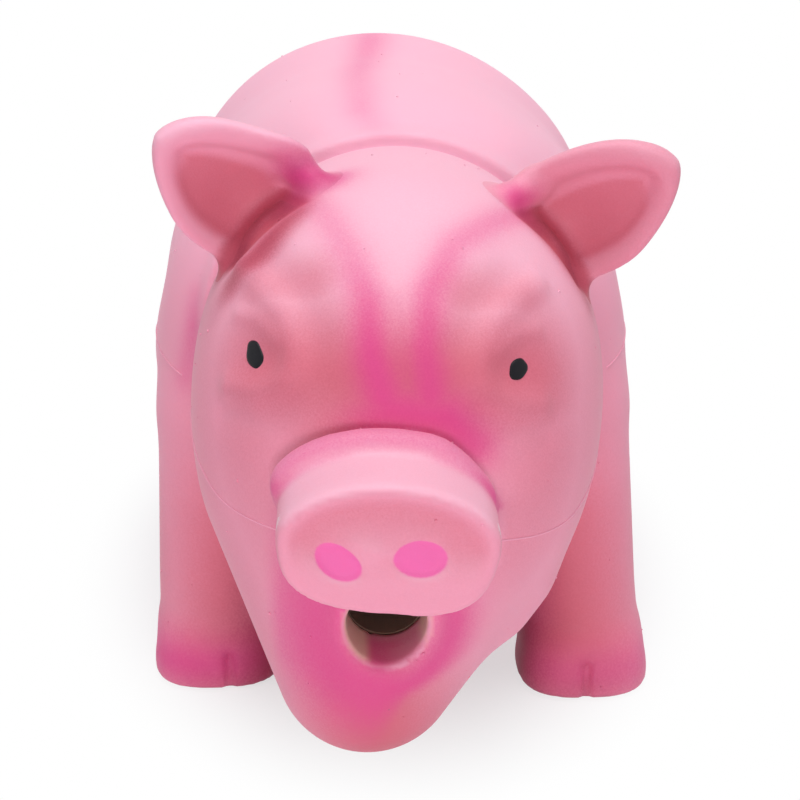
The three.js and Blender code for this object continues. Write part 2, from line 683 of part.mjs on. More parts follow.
// The left ear of the upright head, cut clear of the head wherever its bend takes it
function earSolid() {
  const frame = earFrame();
  const toEar = frame.clone().invert();
  const low = new THREE.Vector3(-EAR_ROOT, -EAR_HALF_WIDTH, -EAR_THICKNESS - EAR_SETBACK);
  const high = new THREE.Vector3(
    EAR_LENGTH, EAR_HALF_WIDTH + EAR_SHIFT, EAR_BOWL + EAR_CURL + EAR_THICKNESS);
  const box = new THREE.Box3(low, high).expandByScalar(EAR_CELL);
  let ear = solidOf(meshField(earField, box, EAR_CELL));
  const nearHead = (p) => uprightHeadField(p.clone().applyMatrix4(frame)) - PARTING_GAP;
  const head = meshField(nearHead, box.clone().expandByScalar(MARGIN), HEAD_CELL);
  for (let step = 0; step <= EAR_BEND_STEPS; step++) {
    const bend = EAR_BEND * ((2 * step) / EAR_BEND_STEPS - 1);
    const turn = new THREE.Matrix4().makeTranslation(EAR_HINGE, 0, 0)
      .multiply(new THREE.Matrix4().makeRotationY(bend))
      .multiply(new THREE.Matrix4().makeTranslation(-EAR_HINGE, 0, 0));
    ear = ear.subtract(solidOf(head.clone().applyMatrix4(turn)));
  }
  return geometryOf(ear).applyMatrix4(frame);
}

// Tail

function tailSolid() {
  const inside = new THREE.Vector3(0, RUMP.y, RUMP.z + TAIL_ABOVE);
  const root = surfaceAlong(bodyField, inside, new THREE.Vector3(0, 1, 0));
  const points = [];
  for (let step = 0; step <= TAIL_STEPS; step++) {
    const t = step / TAIL_STEPS;
    const angle = 2 * Math.PI * TAIL_TURNS * t;
    points.push(new THREE.Vector3(
      TAIL_CURL_RADIUS * Math.sin(angle),
      root.y - TAIL_SINK + (TAIL_REACH + TAIL_SINK) * t,
      root.z + TAIL_CURL_RADIUS * (1 - Math.cos(angle)),
    ));
  }
  const radius = (step) => THREE.MathUtils.lerp(TAIL_ROOT_RADIUS, TAIL_TIP_RADIUS, step / TAIL_STEPS);
  const field = (p) => {
    const pieces = points.slice(1).map((end, n) => roundCone(p, points[n], end, radius(n), radius(n + 1)));
    return Math.min(...pieces);
  };
  const box = new THREE.Box3().setFromPoints(points).expandByScalar(TAIL_ROOT_RADIUS + TAIL_CELL);
  const rumpBox = box.clone().expandByScalar(MARGIN);
  const rump = meshField((p) => bodyField(p) - PARTING_GAP, rumpBox, TAIL_CELL * 2);
  return solidOf(meshField(field, box, TAIL_CELL)).subtract(solidOf(rump));
}

// Grunter, in a group whose origin is the middle of the barrel's front end

const BORE_RADIUS = BARREL_RADIUS - BARREL_WALL;
const PLATE_BACK = PLATE_SETBACK + PLATE_THICKNESS;
const TONGUE_TOP = TONGUE_HEIGHT / 2;
const BLADE_LOW = TONGUE_TOP + FIT_GAP;
const CLIP_LOW = BLADE_LOW + BLADE_THICKNESS + FIT_GAP;
const ORIGIN = new THREE.Vector3();

function barrelSolid() {
  return turned([
    [BORE_RADIUS, 0], [BARREL_RADIUS, 0], [BARREL_RADIUS, BARREL_LENGTH],
    [BORE_RADIUS, BARREL_LENGTH], [BORE_RADIUS, 0],
  ], ORIGIN, ROUND_SIDES);
}

function tongueBox(inset, fromY, toY, top) {
  return boxSolid(
    new THREE.Vector3(-TONGUE_WIDTH / 2 + inset, fromY, -TONGUE_HEIGHT / 2 + inset),
    new THREE.Vector3(TONGUE_WIDTH / 2 - inset, toY, top));
}

function plateSolid() {
  const disc = rod(BORE_RADIUS - FIT_GAP, PLATE_SETBACK, PLATE_BACK, ORIGIN);
  return disc.subtract(tongueBox(TONGUE_WALL, PLATE_SETBACK - 1, PLATE_BACK + 1, TONGUE_TOP));
}

function tongueSolid() {
  const front = PLATE_BACK + FIT_GAP;
  const channel = tongueBox(TONGUE_WALL, front - 1, front + TONGUE_LENGTH - TONGUE_WALL, TONGUE_HEIGHT);
  return tongueBox(0, front, front + TONGUE_LENGTH, TONGUE_TOP).subtract(channel);
}

function bladeSolid() {
  const front = PLATE_BACK + FIT_GAP;
  return boxSolid(
    new THREE.Vector3(-BLADE_WIDTH / 2, front, BLADE_LOW),
    new THREE.Vector3(BLADE_WIDTH / 2, front + BLADE_LENGTH, BLADE_LOW + BLADE_THICKNESS));
}

function clipSolid() {
  const front = PLATE_BACK + FIT_GAP;
  return boxSolid(
    new THREE.Vector3(-TONGUE_WIDTH / 2, front, CLIP_LOW),
    new THREE.Vector3(TONGUE_WIDTH / 2, front + CLIP_LENGTH, CLIP_LOW + CLIP_HEIGHT));
}

function guardSolid() {
  const front = BARREL_LENGTH + FIT_GAP;
  let guard = rod(BARREL_RADIUS, front, front + GUARD_THICKNESS, ORIGIN);
  for (let n = 0; n < GUARD_HOLES; n++) {
    const angle = (2 * Math.PI * n) / GUARD_HOLES;
    const centre = new THREE.Vector3(
      GUARD_HOLE_CIRCLE * Math.sin(angle), 0, GUARD_HOLE_CIRCLE * Math.cos(angle));
    const hole = rod(GUARD_HOLE_RADIUS, front - 1, front + GUARD_THICKNESS + 1, centre, HOLE_SIDES);
    guard = guard.subtract(hole);
  }
  return guard;
}

// Materials

function finish(color, roughness, metalness) {
  return new THREE.MeshStandardMaterial({ color, roughness, metalness });
}

const PINK_LATEX = finish("#f2a3bd", 0.7, 0);
const SALMON_LATEX = finish("#e58a9c", 0.7, 0);
const HOOF_LATEX = finish("#e67f9e", 0.7, 0);
const CREAM_PLASTIC = finish("#d9c6ad", 0.5, 0);
const DARK_PLASTIC = finish("#4a4340", 0.5, 0);
const BRASS = finish("#b08d4a", 0.3, 1);

// Assembly

function piece(name, geometry, material) {
  const mesh = new THREE.Mesh(geometry, material);
  mesh.name = name;
  return mesh;
}

function skinGroup() {
  const body = bodySolid();
  const { torso, saddle } = torsoZones(body);
  const ear = earSolid();
  const group = new THREE.Group();
  group.add(
    piece("torso_skin", geometryOf(torso), PINK_LATEX),
    piece("back_panel", geometryOf(saddle), PINK_LATEX),
    piece("head_skin", geometryOf(headZone(body)), PINK_LATEX),
    piece("left_ear", ear.clone().applyMatrix4(LEANING), SALMON_LATEX),
    piece("right_ear", mirrored(ear).applyMatrix4(LEANING), SALMON_LATEX),
    piece("tail", geometryOf(tailSolid()), PINK_LATEX),
  );
  for (const [name, leg] of Object.entries(LEGS)) {
    group.add(piece(name, geometryOf(legZone(leg)), HOOF_LATEX));
  }
  return group;
}

function grunterGroup() {
  const group = new THREE.Group();
  group.add(
    piece("grunter_barrel", geometryOf(barrelSolid()), CREAM_PLASTIC),
    piece("reed_plate", geometryOf(plateSolid()), DARK_PLASTIC),
    piece("reed_tongue", geometryOf(tongueSolid()), DARK_PLASTIC),
    piece("reed_blade", geometryOf(bladeSolid()), BRASS),
    piece("reed_clip", geometryOf(clipSolid()), DARK_PLASTIC),
    piece("grunter_guard", geometryOf(guardSolid()), CREAM_PLASTIC),
  );
  group.position.copy(mouthSeat());
  return group;
}

const pig = new THREE.Group();
pig.add(skinGroup(), grunterGroup());

// The origin is under the middle of the pig's box
const extent = new THREE.Box3().setFromObject(pig);
pig.position.y = -(extent.min.y + extent.max.y) / 2;

const toy = new THREE.Group();
toy.add(pig);

export default toy;
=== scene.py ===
"""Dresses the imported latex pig: airbrushed skin, painted eyes, mould lines and grunter finishes."""

import functools
import math

import bpy
import numpy as np
from mathutils import Matrix, Vector


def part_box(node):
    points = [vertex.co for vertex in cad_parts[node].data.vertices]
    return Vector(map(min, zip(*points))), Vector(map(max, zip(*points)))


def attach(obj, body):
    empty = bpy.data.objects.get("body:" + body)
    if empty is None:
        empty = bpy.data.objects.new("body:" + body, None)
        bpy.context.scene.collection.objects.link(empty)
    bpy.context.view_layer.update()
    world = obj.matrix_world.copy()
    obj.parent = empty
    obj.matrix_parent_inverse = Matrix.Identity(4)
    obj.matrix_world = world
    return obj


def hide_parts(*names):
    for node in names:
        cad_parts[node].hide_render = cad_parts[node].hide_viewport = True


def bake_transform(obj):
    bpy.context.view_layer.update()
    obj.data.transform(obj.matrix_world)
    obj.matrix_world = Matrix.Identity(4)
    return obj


bl_info = {
    "name": "Latex pig toy",
    "version": (1, 0, 0),
    "blender": (4, 5, 0),
    "location": "3D View > Sidebar > Pig",
    "description": "Airbrushed latex skin, painted eyes, mould lines and grunter finishes on the packed pig",
    "category": "Object",
}

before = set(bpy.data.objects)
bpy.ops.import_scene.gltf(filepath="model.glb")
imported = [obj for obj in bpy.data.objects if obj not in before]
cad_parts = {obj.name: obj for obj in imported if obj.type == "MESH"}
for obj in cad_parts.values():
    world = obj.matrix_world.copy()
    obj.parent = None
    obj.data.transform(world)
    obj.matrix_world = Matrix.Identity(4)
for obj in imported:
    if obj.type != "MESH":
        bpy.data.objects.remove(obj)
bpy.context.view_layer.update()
MM = 0.001


# Main forms in millimetres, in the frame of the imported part

TORSO = np.array((0.0, 31.785, 82.0))
TORSO_HALF = np.array((57.0, 80.0, 57.0))
SHOULDERS = TORSO + (0, -36, 0)
SHOULDERS_HALF = np.array((56.0, 46.0, 53.0))
RUMP = TORSO + (0, 38, 2)
RUMP_HALF = np.array((56.5, 43.0, 56.0))
TORSO_BLEND = 14.0
LEG_BLEND = 9.0
HOOF_HALF = np.array((15.7, 15.4))
HOOF_TOP, HOOF_BLEND = 15.0, 3.5
HAUNCH = TORSO + (38, 41, -24)
HAUNCH_HALF = np.array((20.0, 27.0, 34.0))
KNEE_RADIUS, ANKLE_RADIUS = 18.0, 14.1
FRONT_KNEE, FRONT_ANKLE = TORSO + (38, -50, -20), TORSO + (44, -56, -68)
FRONT_STEP = 4.5
REAR_KNEE, REAR_ANKLE = TORSO + (38, 43, -20), TORSO + (41, 49, -68)
HOOF_AHEAD = 2.2
BACK_LEAN, BACK_LEAN_FROM, BACK_LEAN_TO = 1.5, 112, 140
HOOF_SHIFT = {1: 0.7, -1: 0.3}
CLEFT_SHIFT = {1: 0.2, -1: 3.6}

HEAD = TORSO + (0, -88, 10.5)
HEAD_HALF = np.array((41.5, 38.0, 39.0))
HEAD_LEAN = math.radians(4.4)
NAPE, NAPE_HALF = HEAD + (0, 32, -0.4), np.array((36.4, 25.0, 35.3))
JAW, JAW_RADIUS = HEAD + (0, -9, -19), 41.6
CHIN, CHIN_RADIUS = HEAD + (-4, -35.9, -54.9), 18.7
JAW_SWELL, JAW_SWELL_LINE = 2.8, HEAD + np.array(((31.5, -24.5, -45), (29, -27, -50.5)))
MUZZLE, MUZZLE_RADIUS = HEAD + (0, -18, -10), 27.0
SNOUT = HEAD + (-3.2, -55, -17)
MUZZLE_TIP, MUZZLE_TIP_RADIUS = SNOUT + (0, 12, -4), 12.5
HEAD_BLEND, NAPE_BLEND, SNOUT_BLEND = 12.0, 20.0, 1.4
HEAD_SINK = 5.0
SNOUT_TILT = math.radians(6)
SNOUT_HALF_WIDTH, SNOUT_TAPER = 20.3, 0.14
SNOUT_TOP, SNOUT_BOTTOM = 14.0, 13.0
SNOUT_EDGE = 2.8
ROLL_SWELL = 2.7
BRIDGE_DIP = 3.2
MOUTH_RADIUS, POCKET_RADIUS = 7.8, 10.0

EAR_WAY = np.array((31.2, 6.0, 25.9)) / math.sqrt(31.2**2 + 6.0**2 + 25.9**2)
EAR_REACH = np.array((14.7, -6.0, 11.7))
EAR_SINK = 3.4
EAR_LENGTH = {1: 33.6, -1: 31.6}
EAR_FULLNESS = {1: 0.0, -1: 2.6}
EAR_CORNER = np.array((20.0, -1.5, 34.2))
EAR_SCOOP = 1.8
EAR_SCOOP_LINE = np.array((23.0, -4.0, 32.0)), np.array((33.5, -4.5, 19.0))

TAIL_ABOVE = 28.0

# Reach of the small relief, round edge of the soles, and the fillet of ears and tail
RELIEF_REACH = 8
SOLE_EDGE = 2.6
FILLET, FILLET_LIFT, FILLET_DEPTH, FILLET_EDGE = 4.0, 0.03, 1.6, 0.6
SIDES = (("left", 1), ("right", -1))


# Sizes and colours that a user would change


def size(name, description, millimetres):
    return bpy.props.FloatProperty(
        name=name, description=description, default=millimetres * MM, min=0, unit="LENGTH", precision=5)


def colour(name, description, red, green, blue):
    """A colour given in screen values from 0 to 255."""
    return bpy.props.FloatVectorProperty(
        name=name, description=description, subtype="COLOR", size=3, min=0, max=1,
        default=[linear(v / 255) for v in (red, green, blue)])


def linear(value):
    return value / 12.92 if value <= 0.04045 else ((value + 0.055) / 1.055) ** 2.4


class PigSizes(bpy.types.PropertyGroup):
    """Sizes of the skin's moulded details."""

    head_cell: size("Head mesh", "Mesh size on the head", 1.15)
    body_cell: size("Body mesh", "Mesh size on the body", 1.25)
    ear_cell: size("Ear mesh", "Mesh size on the ears and tail", 0.8)
    brow: size("Brow", "Height of the ridge round each eye", 1.2)
    socket: size("Eye socket", "Depth of the hollow round each eye", 0.7)
    bag: size("Lower lid", "Height of the fold under each eye", 1.2)
    dish: size("Snout dish", "Depth of the hollow in the snout's face", 2.0)
    nostril: size("Nostril", "Depth of each nostril", 0.8)
    lip: size("Lip", "Height of the ring round the mouth", 0.5)
    cleft: size("Hoof cleft", "Depth of the groove in each hoof", 2.4)
    collar: size("Collar", "Height of the fold behind the head", 1.5)
    seam: size("Mould line", "Radius of the bead along the mould line", 0.2)
    pimple: size("Pimple", "Radius of the pimples in the latex", 0.3)


class PigColours(bpy.types.PropertyGroup):
    """Colours of the latex and its airbrushing; some of them are painted light and shade."""

    pink: colour("Pink", "Colour of the bare latex", 247, 164, 189)
    # Painted light: this paler pink goes on the tops of the back, head, snout and ears, as if lit from above
    painted_top_light: colour("Pale pink", "Lighter spray on the back and forehead", 250, 190, 212)
    # Salmon airbrush on the ear bowls, face and legs; the same colour is also painted shade in hollows,
    # creases, on the head's sides and inside the legs
    salmon_and_shade: colour("Salmon", "Warm spray on the ears, face and legs", 214, 103, 122)
    # Magenta airbrush on the stripes, snout, mouth and hooves; also painted shade inside the front legs and
    # in the crease behind the head
    magenta: colour("Magenta", "Accent spray", 226, 72, 142)
    # Painted shade: this dark pink darkens the folds, the ear creases, the hoof clefts, the middle of the
    # face and the insides of the legs
    deep: colour("Deep pink", "Dark spray in the folds and inside the legs", 140, 34, 66)
    nostril: colour("Nostril pink", "Paint in the nostrils", 246, 108, 176)
    lip: colour("Lip", "Rubbed edge of the mouth", 240, 160, 188)
    bare: colour("Bare latex", "Unpainted latex inside the mouth", 250, 222, 196)
    eye: colour("Eye", "Paint of the eyes", 22, 21, 27)
    # Painted shade: the barrel's plastic is made darker than its cream so the inside of the mouth looks
    # shaded
    shaded_cream: colour("Cream", "Plastic of the grunter's barrel", 130, 104, 88)
    # Dark plastic of the reed holder, made darker still as painted shade deep in the mouth
    shaded_dark: colour("Dark", "Plastic of the reed holder", 32, 20, 26)


class PigStage(bpy.types.PropertyGroup):
    """Light of the studio."""

    key: bpy.props.FloatProperty(
        name="Key light", description="Power of the lamp above", default=5.5, min=0, unit="POWER")
    fill: bpy.props.FloatProperty(
        name="Fill light", description="Power of the lamp in front", default=3.2, min=0, unit="POWER")
    sky: bpy.props.FloatProperty(
        name="Sky", description="Strength of the light from all round", default=0.38, min=0)


# Distance fields: negative inside, in millimetres


def length(v):
    return np.sqrt((v * v).sum(-1))


def smooth_min(a, b, blend):
    h = np.clip(0.5 + 0.5 * (b - a) / blend, 0, 1)
    return b * (1 - h) + a * h - blend * h * (1 - h)


def smooth_max(a, b, blend):
    return -smooth_min(-a, -b, blend)


def smooth_step(low, high, value):
    t = np.clip((value - low) / (high - low), 0, 1)
    return t * t * (3 - 2 * t)


def ellipsoid(p, centre, half):
    q = p - centre
    k0 = length(q / half)
    k1 = length(q / (half * half))
    return k0 * (k0 - 1) / np.maximum(k1, 1e-9)


def round_cone(p, a, b, radius_a, radius_b):
    """A ball at each end and the cone that is tangent to both."""
    along = b - a
    span = math.sqrt(along @ along)
    lean = (radius_a - radius_b) / span
    slope = math.sqrt(1 - lean * lean)
    from_a = p - a
    t = from_a @ along / span
    out = np.sqrt(np.maximum((from_a * from_a).sum(-1) - t * t, 0))
    k = out * lean - t * slope
    side = out * slope + t * lean - radius_a
    return np.where(k > 0, length(from_a) - radius_a,
                    np.where(k < -slope * span, length(p - b) - radius_b, side))


def superellipse(x, z, half_x, half_z, power):
    a, b = np.abs(x / half_x), np.abs(z / half_z)
    k = np.maximum((a**power + b**power) ** (1 / power), 1e-6)
    slope = np.hypot(a ** (power - 1) / half_x, b ** (power - 1) / half_z) * k ** (1 - power)
    return (k - 1) / np.maximum(slope, 1e-3)


def to_line(p, a, b):
    """Distance to a straight line from a to b, and how far along it the nearest point is."""
    a, b = np.asarray(a, float), np.asarray(b, float)
    along = b - a
    t = np.clip((p - a) @ along / max(along @ along, 1e-9), 0, 1)
    return length(p - a - t[..., None] * along), t


def fold(p, a, b, width):
    """One on the line from a to b, fading to nothing over about twice the width."""
    return np.exp(-((to_line(p, a, b)[0] / width) ** 2))


def both_sides(p):
    return np.stack([np.abs(p[..., 0]), p[..., 1], p[..., 2]], -1)


def lean_head(p, angle):
    q = p - HEAD
    c, s = math.cos(angle), math.sin(angle)
    return np.stack([c * q[..., 0] + s * q[..., 2], q[..., 1], c * q[..., 2] - s * q[..., 0]], -1) + HEAD


def upright(p):
    return lean_head(p, -HEAD_LEAN)


# Body


def plain_body(p):
    lean = BACK_LEAN * smooth_step(BACK_LEAN_FROM, BACK_LEAN_TO, p[..., 2])
    lean = lean - np.where(p[..., 0] > 0, HOOF_SHIFT[1], HOOF_SHIFT[-1]) * smooth_step(26, 6, p[..., 2])
    side = both_sides(p + lean[..., None] * np.array((1, 0, 0)))
    torso = ellipsoid(side, TORSO, TORSO_HALF)
    torso = smooth_min(torso, ellipsoid(side, SHOULDERS, SHOULDERS_HALF), TORSO_BLEND)
    torso = smooth_min(torso, ellipsoid(side, RUMP, RUMP_HALF), TORSO_BLEND)
    front = np.where(p[..., 0] > 0, front_leg(side, front_ankle(1)), front_leg(side, front_ankle(-1)))
    rear = round_cone(side, REAR_KNEE, REAR_ANKLE, KNEE_RADIUS, ANKLE_RADIUS)
    rear = smooth_min(rear, ellipsoid(side, HAUNCH, HAUNCH_HALF), LEG_BLEND)
    rear = smooth_min(rear, hoof(side, REAR_ANKLE), HOOF_BLEND)
    return smooth_min(torso, np.minimum(front, rear), LEG_BLEND)


def front_ankle(side):
    """The front ankle as laid out at +X. The left hoof, side 1, stands a step ahead of the right."""
    return FRONT_ANKLE - (0, side * FRONT_STEP, 0)


def front_leg(p, ankle):
    column = round_cone(p, FRONT_KNEE, ankle, KNEE_RADIUS, ANKLE_RADIUS)
    return smooth_min(column, hoof(p, ankle), HOOF_BLEND)


def ankles():
    """Each ankle where it stands."""
    return [ankle * (side, 1, 1) for side in (-1, 1) for ankle in (front_ankle(side), REAR_ANKLE)]


def hoof(p, ankle):
    """A squarish block that widens a little towards the sole."""
    half_x, half_y = (half * (1 - 0.1 * smooth_step(3, HOOF_TOP, p[..., 2])) for half in HOOF_HALF)
    plan = superellipse(p[..., 0] - ankle[0], p[..., 1] - ankle[1] + HOOF_AHEAD, half_x, half_y, 2.7)
    return smooth_max(plan, p[..., 2] - HOOF_TOP, 6)


def hoof_clefts():
    """Front line of each hoof's groove, from the sole up."""
    lines = []
    for ankle in ankles():
        side = 1 if ankle[0] > 0 else -1
        x, y = ankle[0] + CLEFT_SHIFT[side], ankle[1] - HOOF_AHEAD - HOOF_HALF[1]
        lines.append(((x, y + 0.2, -1.0), (x, y + 1.4, 8.5)))
    return lines


# Hollows and swells of the rump, haunches, shoulders and flanks:
# depth, width and ends, from the torso's middle
BODY_CREASES = (
    (2.2, 4.5, (0, 83, 14), (0, 62, -42)),
    (0.9, 5.0, (55, 14, 2), (48, 18, -36)),
    (2.2, 13.0, (56, 2, 11), (54, -34, 11)),
    (-1.6, 12.0, (57, 4, -17), (55, -28, -17)),
)


def body_relief(p, sizes):
    """How far the moulded details stand out of the plain body."""
    out = sizes.collar / MM * np.exp(-(((plain_head(p) - 2.4) / 1.5) ** 2))
    for low, high in hoof_clefts():
        out = out - sizes.cleft / MM * fold(p, low, high, 1.0)
    side = both_sides(p - TORSO)
    for depth, width, high, low in BODY_CREASES:
        out = out - depth * fold(side, high, low, width)
    return out


def body_field(p, sizes):
    d = plain_body(p)
    near = np.abs(d) < RELIEF_REACH
    d[near] -= body_relief(p[near], sizes)
    return smooth_max(d, -p[..., 2], SOLE_EDGE)


# Head


def snout_frame(q):
    r = q - SNOUT
    c, s = math.cos(SNOUT_TILT), math.sin(SNOUT_TILT)
    return r[..., 0], c * r[..., 1] + s * r[..., 2], c * r[..., 2] - s * r[..., 1]


def snout_ring(x, z, swell):
    half = SNOUT_HALF_WIDTH + SNOUT_TAPER * np.clip(z, -SNOUT_BOTTOM, 4)
    swell = swell * smooth_step(-3, 8, z) * (1 - 0.8 * smooth_step(8, 19, x))
    above = superellipse(x, z, half + swell, SNOUT_TOP + swell, 2.1)
    below = superellipse(x, z, half + swell, SNOUT_BOTTOM + 0.05 * x, 3)
    return np.where(z > 0, above, below)


def snout_field(q):
    x, y, z = snout_frame(q)
    disc = smooth_max(snout_ring(x, z, 0), np.abs(y + 3.8) - 7.2, SNOUT_EDGE)
    roll = smooth_max(snout_ring(x, z, ROLL_SWELL), np.abs(y - 6.2) - 3.4, 3.4)
    return smooth_min(disc, roll, 1.9)


def plain_head_upright(q):
    skull = ellipsoid(q, HEAD, HEAD_HALF)
    jaw = round_cone(q, JAW, CHIN, JAW_RADIUS, CHIN_RADIUS)
    muzzle = round_cone(q, MUZZLE, MUZZLE_TIP, MUZZLE_RADIUS, MUZZLE_TIP_RADIUS)
    face = smooth_min(smooth_min(skull, jaw, HEAD_BLEND), muzzle, HEAD_BLEND)
    face = smooth_min(face, ellipsoid(q, NAPE, NAPE_HALF), NAPE_BLEND)
    face = face + EAR_SCOOP * fold(both_sides(q - HEAD), *EAR_SCOOP_LINE, 4.5)
    face = face - JAW_SWELL * fold(q, *JAW_SWELL_LINE, 8.5)
    _, y, z = snout_frame(q)
    face = face + BRIDGE_DIP * np.exp(-(((y - 8) / 6) ** 2)) * smooth_step(0, 12, z)
    return smooth_min(face, snout_field(q), SNOUT_BLEND)


def plain_head(p):
    return plain_head_upright(upright(p))


# The face is set a little to one side of the head and tilted on it
FACE_MIDDLE, FACE_TILT = -4.5, 0.045
EYE = (25.2, 7.6)


@functools.lru_cache(maxsize=None)
def on_face(across, up):
    """The place on the plain upright head that lies behind a point given from the face's middle."""
    place = HEAD + (FACE_MIDDLE + across, -90, up + FACE_TILT * across)
    for _ in range(60):
        place[1] = min(place[1] + 0.8 * plain_head_upright(place[None])[0], HEAD[1])
    return place


def nostril_reach(q):
    """How far each place lies from its nostril's middle: one on the nostril's edge."""
    x, y, z = snout_frame(q)
    right = np.hypot((x + 8.9) / 4.3, (z + 2.0 + 0.28 * (x + 8.9)) / 3.4)
    left = np.hypot((x - 5.8) / 4.9, (z + 0.5) / 3.6)
    return np.where(y < -4, np.minimum(right, left), 9.0)


def snout_dish(q):
    """One along the hollow under the snout's upper rim, fading down its face."""
    x, y, z = snout_frame(q)
    inward = -snout_ring(x, z, 0)
    hollow = smooth_step(0.6, 5.0, inward) * smooth_step(17, 5.0, inward)
    return hollow * smooth_step(-6, 3, z) * smooth_step(-3, -7, y)


# Folds round the eyes: share of a size, its name, width and stations from the face's middle
FACE_FOLDS = (
    (1.0, "brow", 2.8, (29.0, 20.4), (25.5, 19.6), (20.4, 15.8), (17.8, 10.8), (17.4, 6.0)),
    (-0.7, "brow", 4.2, (23.0, 23.4), (16.4, 19.4), (13.4, 13.0)),
    (-1.0, "socket", 5.0, (26.4, 8.8), (23.4, 8.8)),
    (0.5, "bag", 1.6, (29.0, 13.2), (25.0, 13.8), (21.4, 11.4)),
    (1.0, "bag", 2.8, (30.0, 0.6), (24.8, 1.6), (19.8, 4.2)),
    (-0.6, "bag", 3.6, (30.4, -4.4), (24.4, -3.2), (18.8, -0.6)),
)


def face_relief(q, sizes):
    """How far the moulded details stand out of the plain head."""
    out = np.zeros(len(q))
    for share, name, width, *stations in FACE_FOLDS:
        for side in (-1, 1):
            route = [on_face(side * across, up) for across, up in stations]
            folds = [fold(q, start, end, width) for start, end in zip(route[:-1], route[1:])]
            out += share * getattr(sizes, name) / MM * np.max(folds, axis=0)
    out -= sizes.dish / MM * snout_dish(q)
    out -= sizes.nostril / MM * smooth_step(1.15, 0.8, nostril_reach(q))
    return out


def mouth_seat():
    """Middle of the grunter's front end."""
    low, high = (np.array(corner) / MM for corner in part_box("grunter_barrel"))
    return np.array(((low[0] + high[0]) / 2, low[1], (low[2] + high[2]) / 2)), high[1]


def head_field(p, sizes):
    q = upright(p)
    d = plain_head_upright(q)
    near = np.abs(d) < RELIEF_REACH
    seat, barrel_end = mouth_seat()
    radius = np.hypot(p[..., 0] - seat[0], p[..., 2] - seat[2])
    d[near] -= face_relief(q[near], sizes)
    ring = np.exp(-(((radius - MOUTH_RADIUS - 2.2) / 1.6) ** 2)) * smooth_step(3.5, -2.5, p[..., 1] - seat[1])
    ring = ring * smooth_step(0.5, 3.0, snout_field(q))
    d = d - sizes.lip / MM * ring
    bore = np.maximum(radius - MOUTH_RADIUS, p[..., 1] - seat[1] - 2)
    bore = np.maximum(bore, 0.4 - snout_field(q))
    pocket = np.maximum(radius - POCKET_RADIUS,
                        np.maximum(seat[1] - 0.3 - p[..., 1], p[..., 1] - barrel_end - 4))
    d = smooth_max(d, -np.minimum(bore, pocket), 1.3)
    return smooth_max(d, -(plain_body(p) + HEAD_SINK), 3)


def filleted(base, form, fillet):
    """A form with the fillet that joins it to the skin it stands on, without that skin."""
    joined = smooth_min(base, form, fillet) + FILLET_LIFT
    kept = smooth_max(joined, -(base + FILLET_DEPTH), FILLET_EDGE)
    return np.maximum(kept, form - fillet - 1)


# Ears, in a frame whose first axis runs from root to tip, the second across and the third out of the bowl


def ear_frame():
    u = EAR_REACH / math.sqrt(EAR_REACH @ EAR_REACH)
    n = np.array((0.3, -0.8, 0.3))
    n = n - (n @ u) * u
    n = n / math.sqrt(n @ n)
    skull = 1 / math.sqrt(((EAR_WAY / HEAD_HALF) ** 2).sum())
    return HEAD + EAR_WAY * (skull - EAR_SINK), u, np.cross(n, u), n


def leaf_edge(u, v, side):
    """Distance to the ear's outline: a fuller curve above the tip and a straighter one below."""
    reach = EAR_LENGTH[side]
    top = 13.7 - 0.35 * np.clip(7 - u, 0, 12) + EAR_FULLNESS[side] * np.exp(-(((u - 8) / 8) ** 2))
    up = np.maximum(u - 7, 0) / (reach - 7)
    down = np.maximum(u, 0) / reach
    high = np.maximum(v - 0.6, 0) / top
    deep = 14.4 - 2.8 * smooth_step(20, 2, u)
    low = np.maximum(0.6 - v, 0) / deep
    above = up**2.3 + high**1.8
    below = down**2 + low**1.5
    slope_above = np.hypot(2.3 * up**1.3 / (reach - 7), 1.8 * high**0.8 / top)
    slope_below = np.hypot(2 * down / reach, 1.5 * low**0.5 / deep)
    d_above = (above - 1) / np.maximum(slope_above, 0.05)
    d_below = (below - 1) / np.maximum(slope_below, 0.05)
    return np.where(v > 0.6, d_above, d_below)


def ear_parts(q, side):
    """An ear of the upright head, mirrored to its left: distance, depth in the bowl, and its front."""
    root, u_axis, v_axis, n_axis = ear_frame()
    r = q - root
    u, v, n = r @ u_axis, r @ v_axis, r @ n_axis
    across = (v - 2.4) / 15
    bowl = 5.4 * across**2 + 2.5 * np.clip(u / 30, 0, 1) ** 2
    bowl = bowl - 2.2 * np.exp(-(((u - 9) / 9) ** 2) - ((v + 1) / 8) ** 2)
    edge = leaf_edge(u, v, side)
    top = smooth_step(-5, 7, v)
    leaf = smooth_max(edge, np.abs(n - bowl + 2.7) - 1.9, 1.6)
    rim_radius = 1.9 + 1.1 * top
    rim = np.hypot(edge + rim_radius, n - bowl + 2.5 - 0.9 * top) - rim_radius
    rim = np.maximum(rim, -(u + 4))
    d = smooth_min(leaf, rim, 3.0)
    d = smooth_max(d, -(u + 5 - 4 * top), 3.2)
    rim_end = root + 6 * u_axis + (11 + 0.6 * EAR_FULLNESS[side]) * v_axis + 0.4 * n_axis
    d = smooth_min(d, round_cone(q, rim_end, HEAD + EAR_CORNER, 3.4, 2.6), 3.0)
    front = n > bowl - 2.7
    return d, front * smooth_step(-1.5 - 5 * top, -5 - 12 * top, edge), front


def ear_skin(p, side):
    """One ear with the fillet that joins it to the head. Side is 1 for the pig's left."""
    q = upright(p)
    return filleted(plain_head_upright(q), ear_parts(q * (side, 1, 1), side)[0], FILLET)


# Tail


